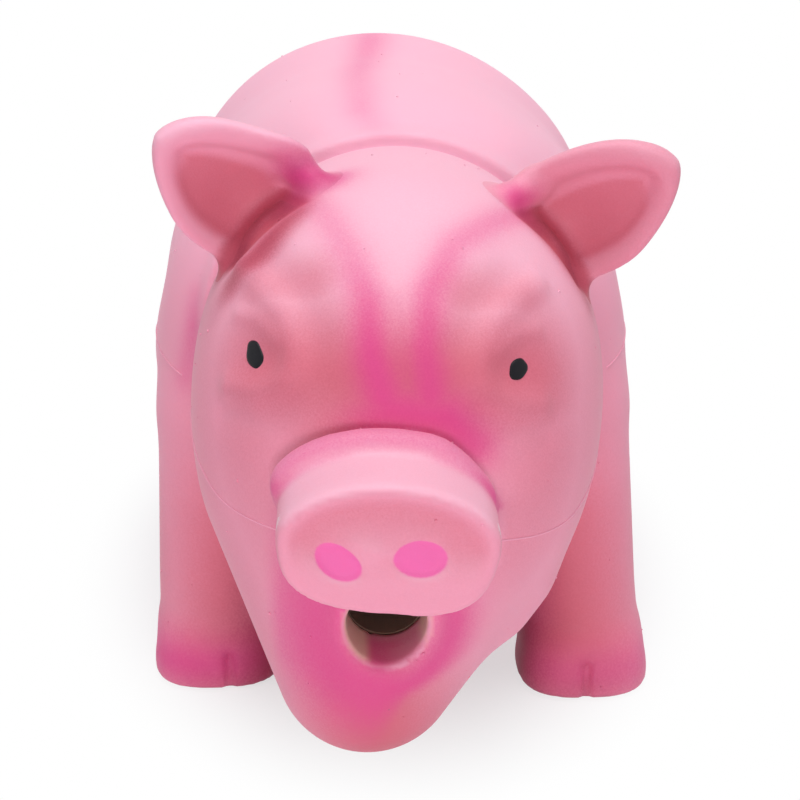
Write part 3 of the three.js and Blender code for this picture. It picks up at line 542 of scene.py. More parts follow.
def tail_root():
    """Where the rump's skin lies at the tail's height."""
    reach = np.linspace(0, 60, 601)
    places = RUMP + np.stack([0 * reach, reach, 0 * reach + TAIL_ABOVE], -1)
    return places[np.argmax(plain_body(places) > 0)]


def tail_path():
    points, steps, root = [], 22, tail_root()
    for step in range(steps + 1):
        t = step / steps
        angle = 2 * math.pi * 1.2 * t
        points.append(root + (6 * math.sin(angle), -3 + 15 * t, 6 * (1 - math.cos(angle))))
    return points


def tail_skin(p):
    points = tail_path()
    radii = np.linspace(4.4, 2.6, len(points))
    d = np.full(len(p), 1e3)
    for n in range(len(points) - 1):
        d = smooth_min(d, round_cone(p, points[n], points[n + 1], radii[n], radii[n + 1]), 0.4)
    return filleted(plain_body(p), d, FILLET)


# Meshes from fields


def field_mesh(name, field, low, high, cell):
    """Closed mesh of a field's inside: a point in each crossed cell and a face on each crossed edge."""
    low, high = np.asarray(low, float) - 2 * cell, np.asarray(high, float) + 2 * cell
    count = np.ceil((high - low) / cell).astype(int) + 1
    axes = [low[a] + cell * np.arange(count[a]) for a in range(3)]
    grid = np.stack(np.meshgrid(*axes, indexing="ij"), -1)
    values = np.concatenate([field(layer.reshape(-1, 3)) for layer in grid]).reshape(count)
    inside = values < 0
    cells = count - 1
    total = np.zeros((*cells, 3))
    hits = np.zeros(cells)
    crossed = []
    for axis in range(3):
        first = [slice(None)] * 3
        second = [slice(None)] * 3
        first[axis], second[axis] = slice(0, -1), slice(1, None)
        a, b = values[tuple(first)], values[tuple(second)]
        cross = (a < 0) != (b < 0)
        crossed.append(cross)
        share = np.where(cross, a / np.where(cross, a - b, 1), 0)
        point = grid[tuple(first)].copy()
        point[..., axis] += share * cell
        point[~cross] = 0
        others = [n for n in range(3) if n != axis]
        for shift in ((0, 0), (0, 1), (1, 0), (1, 1)):
            part = [slice(None)] * 3
            for other, step in zip(others, shift):
                part[other] = slice(step, step + cells[other])
            total += point[tuple(part)]
            hits += cross[tuple(part)]
    used = hits > 0
    index = np.full(cells, -1)
    index[used] = np.arange(used.sum())
    points = settle(total[used] / hits[used][:, None], field, cell)
    faces = []
    rounds = {0: ((0, -1, -1), (0, 0, -1), (0, 0, 0), (0, -1, 0)),
              1: ((-1, 0, -1), (-1, 0, 0), (0, 0, 0), (0, 0, -1)),
              2: ((-1, -1, 0), (0, -1, 0), (0, 0, 0), (-1, 0, 0))}
    for axis in range(3):
        at = np.argwhere(crossed[axis])
        corners = np.stack([index[tuple((at + shift).T)] for shift in rounds[axis]], 1)
        outward = inside[tuple(at.T)]
        faces.append(np.where(outward[:, None], corners, corners[:, ::-1]))
    mesh = bpy.data.meshes.new(name)
    mesh.from_pydata((points * MM).tolist(), [], np.concatenate(faces).tolist())
    mesh.shade_smooth()
    mesh.validate()
    return mesh, points


def settle(points, field, cell):
    """Moves points along the field's slope onto its surface."""
    step = 0.05
    for _ in range(4):
        value = field(points)
        slope = np.stack([(field(points + shift) - value) / step for shift in np.eye(3) * step], -1)
        move = value / np.maximum((slope * slope).sum(-1), 0.25)
        points = points - np.clip(move, -cell / 3, cell / 3)[:, None] * slope
    return points


def set_values(mesh, **layers):
    for name, values in layers.items():
        layer = mesh.attributes.new(name, "FLOAT", "POINT")
        layer.data.foreach_set("value", np.clip(values, 0, 1).astype(np.float32))


def new_piece(name, mesh, material):
    piece = bpy.data.objects.new(name, mesh)
    bpy.context.scene.collection.objects.link(piece)
    mesh.materials.clear()
    mesh.materials.append(material)
    return piece


# Airbrush and painted shade: each stroke is a list of points with a strength and a width, in millimetres


def spray(p, strokes):
    mask = np.zeros(len(p))
    for stroke in strokes:
        for start, end in zip(stroke[:-1], stroke[1:]):
            distance, t = to_line(p, start[:3], end[:3])
            strength = start[3] + t * (end[3] - start[3])
            width = start[4] + t * (end[4] - start[4])
            mask = np.maximum(mask, strength * np.exp(-((distance / width) ** 2)))
    return mask


# On the face, strokes give the place across and up from its middle
FACE_MAGENTA = (
    ((-17.0, 33.0, 0.35, 3.8), (-12.0, 31.4, 0.36, 3.8), (-7.5, 26.5, 0.45, 3.9), (-4.3, 20.3, 0.7, 3.9),
     (-3.1, 11.2, 0.92, 4.0), (-0.5, 4.3, 1.0, 4.8)),
    ((25.0, 31.0, 0.5, 3.4), (21.0, 31.4, 0.5, 3.6), (12.2, 28.8, 0.5, 3.8), (7.4, 22.1, 0.66, 3.8),
     (6.7, 13.0, 0.8, 3.8), (8.2, 4.9, 0.95, 4.4)),
    ((-11.2, -1.5, 0.5, 4.4), (0.7, 2.2, 1.0, 5.0), (11.7, 0.6, 1.0, 5.4), (17.0, -4.4, 0.85, 5.2)),
    # The last stroke, down the middle between the stripes, is partly painted shade
    ((1.6, 20.0, 0.2, 5.0), (1.8, 5.0, 0.5, 6.0)),
)
# Salmon on the face, partly painted shade: darkest across the middle of the face and in the hollows above the
# brows, with more on the lower cheeks and the chin
FACE_SALMON_AND_SHADE = (
    ((-24, 7, 0.85, 14), (-6, 8, 0.95, 14), (4, 8, 1.0, 13), (28, 7, 0.9, 14)),
    ((-25, 19, 0.55, 7), (-15, 22, 0.6, 7)),
    ((14, 21, 0.6, 7), (26, 19, 0.6, 7)),
    ((-26, -9, 0.45, 14), (-20, -24, 0.3, 15)),
    ((32, -9, 0.5, 14), (28, -24, 0.4, 15)),
    ((1, -57, 1.0, 16), (4, -70, 1.0, 20)),
)
# In the corner where each ear meets the brow, strokes are laid from the head's middle
EAR_CORNERS = (
    ((-24.5, -2, 35.5, 1.0, 5.6), (-17.5, -3, 37, 1.0, 5.4)),
    ((21, -3.5, 34, 0.9, 3.8), (25, -3, 33, 0.8, 3.8)),
)
# Painted shade along the head's edge in front of each ear
EAR_SHADE = (
    ((-23.8, -10.5, 30, 0.8, 4.5), (-27.6, -12.5, 25, 1.0, 4.8), (-31.4, -14.5, 20.8, 1.0, 4.8),
     (-35, -13.5, 15.5, 0.8, 4.5), (-37.5, -13, 10, 0.3, 4.0)),
    ((25.5, -8, 29, 0.5, 3.5), (31.8, -9, 22.4, 0.6, 4.0), (37, -8.5, 15, 0.6, 4.0)),
)
# Behind the snout's rim, strokes are laid from the snout's middle
SNOUT_MAGENTA = (
    ((-21, 3.6, 5, 0.75, 2.8), (-9, 3.6, 13.5, 0.65, 2.6)),
    ((9, 3.6, 13.5, 0.75, 2.8), (20, 3.6, 5, 1.0, 3.6)),
)
SNOUT_SCUFF = (
    ((20.5, -7, 3, 0.9, 2.6), (21, -6, -3, 0.7, 2.2)),
    ((-20.5, -7, 3, 0.7, 2.4), (-21, -6, -3, 0.6, 2.2), (-19, -8, -9, 0.4, 2.0)),
)
# On the body, strokes are laid from the torso's middle, those in the second list on both sides
BODY_MAGENTA_AND_SHADE = (
    ((-2.5, -57, 48.5, 0.1, 4), (-6.7, -45.5, 53, 0.34, 4.4), (-7, -15.5, 56.3, 0.4, 4.8),
     (-3.1, 27, 58.6, 0.5, 5.6), (-2, 52, 55, 0.5, 6), (0, 72, 40, 0.6, 6)),
    ((-45, -62, 14, 0.3, 4), (-45, -63, 8, 0.55, 4), (-46.5, -61, -4, 0.4, 4.5)),
    ((0, 78, 22, 0.5, 8), (0, 72, -12, 0.35, 8)),
    # These two strokes inside the front legs are painted shade
    ((28, -64, -36, 0.45, 7), (28, -66, -72, 0.6, 8)),
    ((-28, -58, -58, 0.2, 6), (-28, -58, -74, 0.6, 7)),
)
# Painted shade inside the front legs and at the front of the hooves by the floor
BODY_PAINTED_SHADE = (
    ((27, -64, -34, 0.5, 8), (27, -66, -54, 1.0, 10), (28, -66, -78, 1.0, 12)),
    ((34, -72, -80, 0.3, 10), (46, -76, -80, 0.2, 10)),
)
# Salmon airbrush on the legs, with painted shade on the inner sides of the front legs
BODY_SALMON_AND_SHADE = (
    ((32, -64, -12, 0.5, 17), (36, -70, -42, 0.95, 20), (40, -74, -68, 1.0, 19)),
    ((28, -62, -40, 0.7, 9), (28, -64, -74, 1.0, 10)),
    ((38, 44, -22, 0.3, 18), (39, 46, -52, 0.7, 18), (40, 46, -70, 0.75, 18)),
)


def face_strokes(strokes):
    return [[(*on_face(across, up), strength, width) for across, up, strength, width in stroke]
            for stroke in strokes]


def hoof_strokes():
    strokes = []
    for ankle in ankles():
        x, y = ankle[0], ankle[1] - HOOF_AHEAD
        strength = 0.85 if x < 0 else 0.55
        strokes.append([(x + 15 * math.cos(a), y + 15.5 * math.sin(a), 7.0, strength, 6.5)
                        for a in np.linspace(0, 2 * math.pi, 17)])
    return strokes


def body_paint(p):
    magenta = np.maximum(spray(p - TORSO, BODY_MAGENTA_AND_SHADE), spray(p, hoof_strokes()))
    # Painted shade: a thin line of magenta in the crease where the head meets the body
    magenta = np.maximum(magenta, 0.15 * np.exp(-((plain_head(p) / 0.8) ** 2)))
    side = both_sides(p - TORSO)
    salmon_and_shade = np.maximum(spray(side, BODY_SALMON_AND_SHADE), 0.4 * smooth_step(70, 30, p[:, 2]))
    # Painted shade in the hoof clefts and inside the legs
    cleft_shade = [((*low, 0.95, 0.9), (*high, 0.8, 0.7)) for low, high in hoof_clefts()]
    deep = np.maximum(spray(side, BODY_PAINTED_SHADE), spray(p, cleft_shade))
    # Painted light: the body gets paler towards its top
    painted_top_light = 0.75 * smooth_step(84, 126, p[:, 2])
    return dict(magenta=magenta, salmon_and_shade=salmon_and_shade, painted_top_light=painted_top_light, deep=deep)


def ear_root_shade(q):
    """Painted shade: one on the upright head in front of each ear's root, fading forward."""
    hollow = np.zeros(len(q))
    for side in (-1, 1):
        near, _, front = ear_parts(q * (side, 1, 1), side)
        ahead = smooth_step(-11, -4, q[:, 1] - HEAD[1])
        hollow = np.maximum(hollow, front * smooth_step(11, 6, near) * ahead)
    up = q[:, 2] - HEAD[2]
    return np.maximum(hollow * smooth_step(33, 29, up) * smooth_step(9, 18, up), spray(q - HEAD, EAR_SHADE))


def head_paint(p, normals):
    q = upright(p)
    _, y, z = snout_frame(q)
    behind = np.maximum(smooth_step(7.4, 9.0, y), z < -12)
    magenta = np.maximum(behind * spray(q, face_strokes(FACE_MAGENTA)), spray(q - SNOUT, SNOUT_MAGENTA))
    magenta = np.maximum(magenta, 0.55 * smooth_step(2, 4, y) * smooth_step(9, 8, y) * (z > 0))
    magenta = np.maximum(magenta, spray(q - HEAD, EAR_CORNERS))
    salmon_and_shade = behind * spray(q, face_strokes(FACE_SALMON_AND_SHADE))
    # Painted shade: salmon in the scoop before each ear, with less of the paler coat there
    scoop_shade = fold(both_sides(q - HEAD), *EAR_SCOOP_LINE, 4.0)
    scoop_shade = np.minimum(1.8 * scoop_shade, 1)
    # Painted shade: salmon on faces that turn to the sides
    side_shade = 0.3 * smooth_step(0.55, 0.95, np.abs(normals[:, 0]))
    # A little salmon over the whole head, and more in the snout's dish as painted shade under its rim
    salmon_and_shade = np.maximum(salmon_and_shade, np.max([0.12 + 0.42 * snout_dish(q), side_shade, scoop_shade], axis=0))
    # Painted light: faces that look up are made paler, on the snout as well
    painted_top_light = smooth_step(-0.1, 0.75, normals[:, 2]) * smooth_step(-16, 30, q[:, 2] - HEAD[2])
    on_snout = smooth_step(14, 4, y)
    painted_top_light = np.maximum(painted_top_light, on_snout * smooth_step(0.0, 0.7, normals[:, 2]) * 0.95)
    painted_top_light = painted_top_light * (1 - scoop_shade)
    scuff = spray(q - SNOUT, SNOUT_SCUFF)
    seat, _ = mouth_seat()
    ahead = seat[1] - p[:, 1]
    radius = np.hypot(p[:, 0] - seat[0], p[:, 2] - seat[2])
    spread = 12.5 - 7.5 * smooth_step(-4, 5, p[:, 0] - seat[0])
    spread = spread - 3 * smooth_step(-8, -16, p[:, 2] - seat[2])
    round_mouth = np.exp(-(((radius - 13) / spread) ** 2)) * smooth_step(0, 5, ahead) * (y > -6)
    magenta = np.maximum(magenta, 0.85 * round_mouth)
    lip = (1 - np.abs(radius - MOUTH_RADIUS - 0.6) / 1.9) * (ahead > 6) * (y > -6)
    lip = lip * (0.78 + 0.22 * smooth_step(-3, 3, p[:, 0] - seat[0]))
    bore = smooth_step(1.0, -0.5, radius - MOUTH_RADIUS) * (ahead < 14)
    low = smooth_step(-2.5, -5.5, p[:, 2] - seat[2] - 0.8 * np.minimum(p[:, 0] - seat[0], 0))
    salmon_and_shade = np.maximum(salmon_and_shade, 0.4 * bore * low)
    # Painted shade: a little deep pink across the middle of the face
    deep = 0.12 * spray(q, face_strokes(FACE_SALMON_AND_SHADE[:1]))
    return dict(magenta=magenta, salmon_and_shade=salmon_and_shade, painted_top_light=painted_top_light, deep=deep, bare=bore * (1 - low), lip=lip,
                nostril=1 - nostril_reach(q) / 2, scuff=scuff)


def skull_paint(p, normals):
    """Layers of the head itself, with painted shade in front of each ear's root."""
    layers = head_paint(p, normals)
    # Painted shade: salmon and deep pink in front of each ear's root, with less of the paler coat
    hollow = ear_root_shade(upright(p))
    layers["salmon_and_shade"] = np.maximum(layers["salmon_and_shade"], hollow)
    layers["deep"] = np.maximum(layers["deep"], 0.5 * hollow)
    layers["painted_top_light"] = layers["painted_top_light"] * (1 - hollow)
    return layers


def ear_paint(p, normals, side):
    layers = head_paint(p, normals)
    q = upright(p) * (side, 1, 1)
    _, inside, front = ear_parts(q, side)
    facing = normals @ (ear_frame()[3] * (side, 1, 1))
    bowl = inside * smooth_step(-0.1, 0.4, facing)
    # Painted shade: salmon in the crease where the ear's bowl meets the head
    crease_shade = front * smooth_step(3.8, 0.8, plain_head(p)) * smooth_step(33, 31, q[:, 2] - HEAD[2])
    rim = 0.2 + 0.2 * side
    back = 0.25 * smooth_step(0.3, -0.6, facing)
    layers["salmon_and_shade"] = np.max([bowl * 0.78, crease_shade, back, np.full(len(p), rim)], axis=0)
    low = smooth_step(9, 18, q[:, 2] - HEAD[2])
    # Painted shade: deep pink in that crease and in the corner of the pig's right ear
    layers["deep"] = np.maximum(0.35 * crease_shade * low, 0.3 * spray(upright(p) - HEAD, EAR_CORNERS[:1]))
    layers["painted_top_light"] = np.minimum(layers["painted_top_light"], 0.75) * (1 - np.maximum(bowl, crease_shade))
    return layers


def vertex_normals(mesh):
    normals = np.zeros(len(mesh.vertices) * 3, np.float32)
    mesh.vertices.foreach_get("normal", normals)
    return normals.reshape(-1, 3)


# Materials


def feed(tree, socket, source):
    """Sets an input to a value, or links it to the socket that feeds it."""
    if isinstance(source, bpy.types.NodeSocket):
        tree.links.new(source, socket)
    else:
        socket.default_value = source


def add_node(tree, kind, sources=None, **settings):
    """A node with its settings and its inputs, each input a value or the socket that feeds it."""
    node = tree.nodes.new(kind)
    for key, value in settings.items():
        setattr(node, key, value)
    for key, source in (sources or {}).items():
        feed(tree, node.inputs[key], source)
    return node


def mix_colour(tree, share, under, over, blend="MIX"):
    node = tree.nodes.new("ShaderNodeMix")
    node.data_type, node.blend_type = "RGBA", blend
    for index, source in ((0, share), (6, under), (7, over)):
        feed(tree, node.inputs[index], source)
    return node.outputs[2]


def math_node(tree, operation, *values, clamp=False):
    node = tree.nodes.new("ShaderNodeMath")
    node.operation, node.use_clamp = operation, clamp
    for index, source in enumerate(values):
        feed(tree, node.inputs[index], source)
    return node.outputs[0]


def new_group(name, inputs, outputs):
    tree = bpy.data.node_groups.new(name, "ShaderNodeTree")
    for label, kind, default in inputs:
        socket = tree.interface.new_socket(label, in_out="INPUT", socket_type=kind)
        if default is not None:
            socket.default_value = default
    for label, kind in outputs:
        tree.interface.new_socket(label, in_out="OUTPUT", socket_type=kind)
    return tree, tree.nodes.new("NodeGroupInput").outputs, tree.nodes.new("NodeGroupOutput").inputs


def grain_group():
    """Fine grain, cloudy mottle and sparse specks, from a place on the object."""
    tree, given, out = new_group(
        "latex_grain",
        [("Place", "NodeSocketVector", None), ("Grain size", "NodeSocketFloat", 0.0005)],
        [("Grain", "NodeSocketFloat"), ("Mottle", "NodeSocketFloat"), ("Specks", "NodeSocketFloat"),
         ("Height", "NodeSocketFloat")])
    scale = math_node(tree, "DIVIDE", 1.0, given["Grain size"])
    fine = add_node(tree, "ShaderNodeTexNoise", {
        "Vector": given["Place"], "Scale": scale, "Detail": 2.0, "Roughness": 0.6})
    cloud = add_node(tree, "ShaderNodeTexNoise", {
        "Vector": given["Place"], "Scale": 55.0, "Detail": 3.0, "Roughness": 0.55})
    dots = add_node(tree, "ShaderNodeTexVoronoi", {"Vector": given["Place"], "Scale": 95.0})
    near = math_node(tree, "LESS_THAN", dots.outputs["Distance"], 0.028)
    separate = add_node(tree, "ShaderNodeSeparateColor", {"Color": dots.outputs["Color"]})
    some = math_node(tree, "GREATER_THAN", separate.outputs[0], 0.45)
    tree.links.new(fine.outputs["Fac"], out["Grain"])
    tree.links.new(cloud.outputs["Fac"], out["Mottle"])
    tree.links.new(math_node(tree, "MULTIPLY", near, some), out["Specks"])
    soft = math_node(tree, "MULTIPLY", cloud.outputs["Fac"], 2.0)
    tree.links.new(math_node(tree, "ADD", fine.outputs["Fac"], soft), out["Height"])
    return tree


def spray_group():
    """One coat of sprayed paint whose edge breaks up into droplets."""
    tree, given, out = new_group(
        "sprayed_coat",
        [("Under", "NodeSocketColor", None), ("Paint", "NodeSocketColor", None),
         ("Mask", "NodeSocketFloat", 0.0), ("Grain", "NodeSocketFloat", 0.5),
         ("Droplets", "NodeSocketFloat", 1.0)],
        [("Colour", "NodeSocketColor")])
    spread = math_node(tree, "MULTIPLY", given["Mask"], math_node(tree, "SUBTRACT", 1.0, given["Mask"]))
    jitter = math_node(tree, "MULTIPLY", math_node(tree, "SUBTRACT", given["Grain"], 0.5), given["Droplets"])
    broken = math_node(tree, "MULTIPLY_ADD", spread, jitter, given["Mask"], clamp=True)
    tree.links.new(mix_colour(tree, broken, given["Under"], given["Paint"]), out["Colour"])
    return tree


def solid(rgb):
    return (*rgb, 1.0)


def new_material(name):
    material = bpy.data.materials.new(name)
    material.use_nodes = True
    tree = material.node_tree
    tree.nodes.clear()
    output = tree.nodes.new("ShaderNodeOutputMaterial")
    shader = tree.nodes.new("ShaderNodeBsdfPrincipled")
    tree.links.new(shader.outputs["BSDF"], output.inputs["Surface"])
    place = tree.nodes.new("ShaderNodeTexCoord").outputs["Object"]
    return material, tree, shader, place


def set_inputs(shader, **values):
    for name, value in values.items():
        shader.inputs[name.replace("_", " ")].default_value = value


# Coats with a clear edge: the values of the layer between which the coat begins
CRISP = {"nostril": (0.46, 0.53), "lip": (0.55, 0.95)}


def latex_material(name, groups, colours, grain_size, droplets):
    """Matte latex with sprayed coats and painted light and shade, read from the piece's own paint layers."""
    material, tree, shader, place = new_material(name)
    grain = add_node(tree, "ShaderNodeGroup", {"Place": place, "Grain size": grain_size},
                     node_tree=groups["grain"])
    mottle = math_node(tree, "MULTIPLY_ADD", grain.outputs["Mottle"], 0.5, -0.08, clamp=True)
    deeper = solid([c * k for c, k in zip(colours.pink, (0.96, 0.86, 0.9))])
    colour_now = mix_colour(tree, mottle, solid(colours.pink), deeper)
    # The paler coat is painted light on faces that look up; the deep coat is painted shade; the salmon and
    # magenta coats are partly painted shade
    for layer in ("painted_top_light", "salmon_and_shade", "magenta", "deep", "nostril", "bare", "lip"):
        mask = add_node(tree, "ShaderNodeAttribute", attribute_name=layer).outputs["Fac"]
        if layer in CRISP:
            mask = add_node(tree, "ShaderNodeMapRange", {0: mask, 1: CRISP[layer][0], 2: CRISP[layer][1]},
                            interpolation_type="SMOOTHSTEP").outputs[0]
        coat = add_node(tree, "ShaderNodeGroup", {
            "Under": colour_now, "Paint": solid(getattr(colours, layer)), "Mask": mask,
            "Grain": grain.outputs["Grain"], "Droplets": droplets}, node_tree=groups["spray"])
        colour_now = coat.outputs["Colour"]
    scuff = add_node(tree, "ShaderNodeAttribute", attribute_name="scuff").outputs["Fac"]
    rubbed = math_node(tree, "GREATER_THAN", math_node(tree, "ADD", scuff, grain.outputs["Grain"]), 1.02)
    rubbed = math_node(tree, "MULTIPLY", rubbed, 0.55)
    colour_now = mix_colour(tree, rubbed, colour_now, (0.93, 0.78, 0.82, 1))
    specks = math_node(tree, "MULTIPLY", grain.outputs["Specks"], 0.5)
    colour_now = mix_colour(tree, specks, colour_now, (0.42, 0.13, 0.2, 1))
    tree.links.new(colour_now, shader.inputs["Base Color"])
    rough = math_node(tree, "MULTIPLY_ADD", grain.outputs["Grain"], 0.16, 0.5)
    tree.links.new(rough, shader.inputs["Roughness"])
    bump = add_node(tree, "ShaderNodeBump", {
        "Height": grain.outputs["Height"], "Strength": 0.25, "Distance": 0.0002})
    tree.links.new(bump.outputs["Normal"], shader.inputs["Normal"])
    set_inputs(shader, Specular_IOR_Level=0.32, Sheen_Weight=0.06, Sheen_Roughness=0.45,
               Sheen_Tint=(1.0, 0.86, 0.92, 1), Subsurface_Weight=0.12,
               Subsurface_Radius=(1.0, 0.32, 0.28), Subsurface_Scale=0.0016)
    return material


def worn_material(name, groups, rgb, roughness, metallic=0.0, specular=0.5):
    """Plastic or brass with cloudy colour and fine grain."""
    material, tree, shader, place = new_material(name)
    grain = add_node(tree, "ShaderNodeGroup", {"Place": place, "Grain size": 0.0003},
                     node_tree=groups["grain"])
    darker = solid([c * 0.72 for c in rgb])
    tree.links.new(mix_colour(tree, grain.outputs["Mottle"], solid(rgb), darker), shader.inputs["Base Color"])
    rough = math_node(tree, "MULTIPLY_ADD", grain.outputs["Grain"], 0.2, roughness - 0.1)
    tree.links.new(rough, shader.inputs["Roughness"])
    bump = add_node(tree, "ShaderNodeBump", {
        "Height": grain.outputs["Grain"], "Strength": 0.15, "Distance": 0.0001})
    tree.links.new(bump.outputs["Normal"], shader.inputs["Normal"])
    set_inputs(shader, Metallic=metallic, Specular_IOR_Level=specular)
    return material


def finishes():
    """The materials, made once and found by name afterwards."""
    made = bpy.data.materials.get("head_latex_finish")
    colours = bpy.context.scene.pig_colours
    if made is None:
        groups = {"grain": grain_group(), "spray": spray_group()}
        latex_material("head_latex_finish", groups, colours, 0.0004, 1.5)
        latex_material("body_latex_finish", groups, colours, 0.0005, 1.2)
        latex_material("ear_latex_finish", groups, colours, 0.0004, 1.0)
        worn_material("eye_paint_finish", groups, colours.eye, 0.4, specular=0.16)
        # The barrel's cream is darkened here as painted shade inside the mouth
        worn_material("shaded_barrel_finish", groups, colours.shaded_cream, 0.45)
        # The reed holder's dark plastic is partly painted shade deep in the mouth
        worn_material("shaded_reed_holder_finish", groups, colours.shaded_dark, 0.5)
        worn_material("reed_brass_finish", groups, (0.62, 0.42, 0.16), 0.3, metallic=1.0)
    return bpy.data.materials


# Bakes a piece's place into its mesh, in metres


def press_blend(piece):
    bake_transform(piece)


# Operators


class PIG_OT_body(bpy.types.Operator):
    """Makes the torso and legs as one skin"""

    bl_idname = "pig.body"
    bl_label = "Body skin"

    def execute(self, context):
        sizes = context.scene.pig_sizes
        low, high = TORSO - (62, 86, 82), TORSO + (62, 86, 62)
        mesh, points = field_mesh("body_latex", lambda p: body_field(p, sizes), low, high,
                                  sizes.body_cell / MM)
        set_values(mesh, **body_paint(points))
        piece = new_piece("body_latex", mesh, finishes()["body_latex_finish"])
        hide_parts("torso_skin", "back_panel", "front_left_leg", "front_right_leg",
                    "rear_left_leg", "rear_right_leg")
        press_blend(piece)
        return {"FINISHED"}


class PIG_OT_head(bpy.types.Operator):
    """Makes the head with its snout, brows, nostrils and mouth"""

    bl_idname = "pig.head"
    bl_label = "Head skin"

    def execute(self, context):
        sizes = context.scene.pig_sizes
        low, high = HEAD - (50, 74, 78), HEAD + (50, 56, 46)
        mesh, points = field_mesh("head_latex", lambda p: head_field(p, sizes), low, high,
                                  sizes.head_cell / MM)
        set_values(mesh, **skull_paint(points, vertex_normals(mesh)))
        piece = new_piece("head_latex", mesh, finishes()["head_latex_finish"])
        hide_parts("head_skin")
        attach(piece, "skin")
        return {"FINISHED"}


class PIG_OT_ears(bpy.types.Operator):
    """Makes both ears"""

    bl_idname = "pig.ears"
    bl_label = "Ears"

    def execute(self, context):
        sizes = context.scene.pig_sizes
        for word, side in SIDES:
            low, high = (np.array(corner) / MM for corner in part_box(word + "_ear"))
            mesh, points = field_mesh(word + "_ear_latex", lambda p, s=side: ear_skin(p, s),
                                      low - 14, high + 14, sizes.ear_cell / MM)
            set_values(mesh, **ear_paint(points, vertex_normals(mesh), side))
            piece = new_piece(word + "_ear_latex", mesh, finishes()["ear_latex_finish"])
            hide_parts(word + "_ear")
            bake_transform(piece)
        return {"FINISHED"}


class PIG_OT_tail(bpy.types.Operator):
    """Makes the curled tail and the fillet at its root"""

    bl_idname = "pig.tail"
    bl_label = "Tail"

    def execute(self, context):
        sizes = context.scene.pig_sizes
        low, high = (np.array(corner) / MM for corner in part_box("tail"))
        mesh, points = field_mesh("tail_latex", tail_skin, low - 10, high + 4, sizes.ear_cell / MM)
        set_values(mesh, **body_paint(points))
        piece = new_piece("tail_latex", mesh, finishes()["body_latex_finish"])
        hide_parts("tail")
        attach(piece, "skin")
        return {"FINISHED"}


class PIG_OT_eyes(bpy.types.Operator):
    """Paints the two eyes as thin domes on the skin"""

    bl_idname = "pig.eyes"
    bl_label = "Eyes"

    def execute(self, context):
        sizes = context.scene.pig_sizes
        for word, centre, half_wide, half_high, wobble in (
                ("right", on_face(-EYE[0], EYE[1]), 1.7, 2.2, 0.05),
                ("left", on_face(*EYE), 1.9, 1.75, 0.04)):
            mesh = eye_mesh(word + "_eye", centre, half_wide, half_high, wobble, sizes)
            piece = new_piece(word + "_eye", mesh, finishes()["eye_paint_finish"])
            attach(piece, "skin")
        return {"FINISHED"}


def from_front(points, field):
    """Points moved along Y onto the skin, as seen from the front."""
    points = points - (0, 8, 0)
    for _ in range(40):
        points[:, 1] += 0.8 * field(points)
    return points


def eye_mesh(name, centre, half_wide, half_high, wobble, sizes):
    """A painted oval that lies on the head: a low dome above, a flat back just under the skin."""
    field = lambda p: head_field(p, sizes)
    place = from_front(lean_head(centre[None], HEAD_LEAN), field)[0]
    out = np.array([(field((place + s)[None]) - field((place - s)[None]))[0] for s in np.eye(3) * 0.2])
    out = out / math.sqrt(out @ out)
    across, up = (lean_head(HEAD + axis, HEAD_LEAN) - HEAD for axis in np.eye(3)[[0, 2]])
    rings, sectors = 7, 40
    points, lift = [place], [0.32]
    for ring in range(1, rings + 1):
        r = ring / rings
        for sector in range(sectors):
            a = 2 * math.pi * sector / sectors
            edge = 1 + wobble * math.cos(3 * a + 0.6) + 0.6 * wobble * math.cos(5 * a)
            spoke = across * half_wide * math.cos(a) + up * half_high * math.sin(a)
            points.append(place + spoke * r * edge)
            lift.append(0.32 * math.sqrt(max(1 - r**3, 0.0)) + 0.02)
    front = from_front(np.array(points), field)
    back = front - out * 0.5
    front = front + out * np.array(lift)[:, None]
    count = len(points)
    at = lambda ring, sector: 1 + (ring - 1) * sectors + sector % sectors
    faces = []
    for sector in range(sectors):
        faces.append((0, at(1, sector), at(1, sector + 1)))
        for ring in range(1, rings):
            faces.append((at(ring, sector), at(ring + 1, sector),
                          at(ring + 1, sector + 1), at(ring, sector + 1)))
    under = [tuple(count + n for n in reversed(face)) for face in faces]
    rim = [(at(rings, s), count + at(rings, s), count + at(rings, s + 1), at(rings, s + 1))
           for s in range(sectors)]
    mesh = bpy.data.meshes.new(name)
    mesh.from_pydata((np.concatenate([front, back]) * MM).tolist(), [], faces + under + rim)
    mesh.shade_smooth()
    return mesh


# Geometry nodes


def new_geometry_tree(name, inputs):
    tree = bpy.data.node_groups.new(name, "GeometryNodeTree")
    tree.interface.new_socket("Geometry", in_out="INPUT", socket_type="NodeSocketGeometry")
    for label, kind in inputs:
        tree.interface.new_socket(label, in_out="INPUT", socket_type=kind)
    tree.interface.new_socket("Geometry", in_out="OUTPUT", socket_type="NodeSocketGeometry")
    return tree, tree.nodes.new("NodeGroupInput").outputs, tree.nodes.new("NodeGroupOutput").inputs


def finished_tree(tree, made, finish, out):
    """The tree, with what it made turned into one smooth mesh with a material."""
    whole = add_node(tree, "GeometryNodeRealizeInstances", {"Geometry": made})
    smooth = add_node(tree, "GeometryNodeSetShadeSmooth", {"Geometry": whole.outputs["Geometry"]})
    painted = add_node(tree, "GeometryNodeSetMaterial", {
        "Geometry": smooth.outputs["Geometry"], "Material": finish})
    tree.links.new(painted.outputs["Geometry"], out["Geometry"])
    return tree


